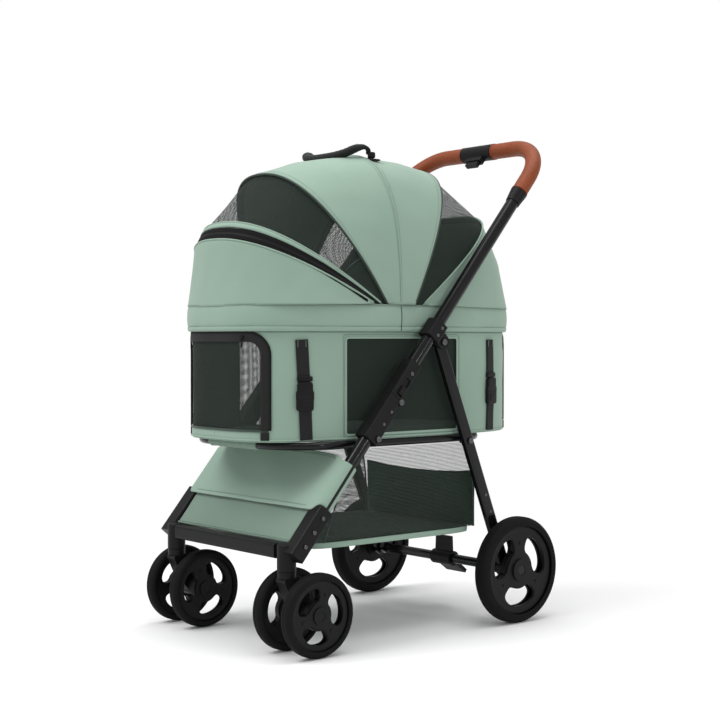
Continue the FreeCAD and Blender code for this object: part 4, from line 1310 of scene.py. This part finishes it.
WHEELS = []
for tag, sgn in (("left", 1), ("right", -1)):
    WHEELS.append(("rear_" + tag, sgn * 234.2, 261.8, 110.0, 35.5, 30))
    for place, off in (("outer", 1), ("inner", -1)):
        turn = 12 if off > 0 else 50
        WHEELS.append(("front_" + tag + "_" + place, sgn * (188.4 + off * 44.1), -261.8, 79.0, 27.0, turn))
for name, x, y, radius, width, turn in WHEELS:
    profile = tyre_profile(radius, width) * MM
    tyre = lathe_x("foam_tyre_" + name, profile, real((x, y, radius)), 96)
    finish(tyre, "wheel_" + name, tyre_rubber)
    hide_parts("tyre_" + name)
    faces = wheel_faces("wheel_faces_" + name, x, y, radius, width, turn)
    finish(faces, "wheel_" + name, hub_plastic)
print("wheels made")

# %% [markdown]
# ## Bolts, pedal and finishes on the frame
# Every pivot shows a low domed bolt. Small as they are, they tell the eye where
# the frame folds. Last, each exact part gets its own finish: enamel on tubes,
# moulded nylon on joints and sockets.

# %% Domed bolts at the pivots
def bolt(x, y, z, r, out):
    """A domed head with a round recess, as a turned profile of one bolt."""
    a = np.linspace(0, np.pi / 2, 7)
    h = np.concatenate([[0, 0.0], 0.45 * r * np.sin(a), [0.18 * r, 0.18 * r]])
    rad = np.concatenate([[0, r], r * (0.45 + 0.55 * np.cos(a)), [0.4 * r, 0]])
    t = np.linspace(0, 2 * np.pi, 24, endpoint=False)
    face = np.broadcast_to(x + out * h, (24, len(h)))
    pts = np.stack([face, y + rad * np.cos(t)[:, None], z + rad * np.sin(t)[:, None]], axis=-1)
    n = len(h)
    i, j = np.meshgrid(np.arange(24), np.arange(n - 1), indexing="ij")
    i, j = i.ravel(), j.ravel()
    k = (i + 1) % 24
    return pts.reshape(-1, 3), np.stack([i * n + j, k * n + j, k * n + j + 1, i * n + j + 1], axis=1)


def on_tube(s, n=0.0):
    """Y and Z of a point along a main tube."""
    p = AXIS0 + ALONG * s + BEHIND * n
    return p[1], p[2]


groups = {"front_frame": [], "push_frame": [], "rear_frame": []}
for sgn in (1, -1):
    groups["front_frame"] += [bolt(sgn * 229.4, -110, 397, 6, sgn), bolt(sgn * 226.9, -50, 466, 6.5, sgn)]
    groups["front_frame"] += [bolt(sgn * 228.4, *on_tube(q), 4.2, sgn) for q in (-350, -318, -286)]
    groups["front_frame"] += [bolt(sgn * 226.9, *on_tube(q, 6), 3.2, sgn) for q in (-60, -30)]
    groups["push_frame"] += [bolt(sgn * 218.4, 72, 583, 6.5, sgn), bolt(sgn * 226.9, *on_tube(60), 4, sgn)]
    groups["push_frame"] += [bolt(sgn * 226.9, *on_tube(q, 4), 3.6, sgn) for q in (162, 180)]
    groups["rear_frame"] += [bolt(sgn * 210.4, 72 + (583 - 381) * 0.4013, 381, 6, sgn)]
    groups["rear_frame"] += [bolt(sgn * 207.9, 72 + (583 - q) * 0.4013, q, 3.6, sgn) for q in (267, 231)]
for body, parts in groups.items():
    finish(assemble("bolts_" + body, parts), body, bolt_steel)

# %% Ridges on the brake pedal
ridge = [superblock((16, 261.8 + 16 + 7 * k, 103 - 5.4 * k), (25, 1.4, 1.6), 0, 0.5) for k in range(4)]
finish(assemble("brake_pedal_ridges", ridge), "pedal", hub_plastic)

# %% Finishes on the exact parts
TUBES = ("push_tube", "front_leg", "rear_leg", "ring_tube", "rear_axle")
for name, obj in nodes.items():
    if obj.hide_render:
        continue
    paint = gloss if name.startswith(TUBES) else hub_plastic if name.startswith("hub") else plastic
    obj.data.materials.clear()
    obj.data.materials.append(paint)

# %% Studio floor
mesh = bpy.data.meshes.new("studio_floor")
mesh.from_pydata([(-14, -14, 0), (14, -14, 0), (14, 14, 0), (-14, 14, 0)], [], [(0, 1, 2, 3)])
ground = bpy.data.objects.new("studio_floor", mesh)
bpy.context.scene.collection.objects.link(ground)
ground.data.materials.append(studio_floor())
ground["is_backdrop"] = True

# %% Sizes, and the end
low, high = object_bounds()
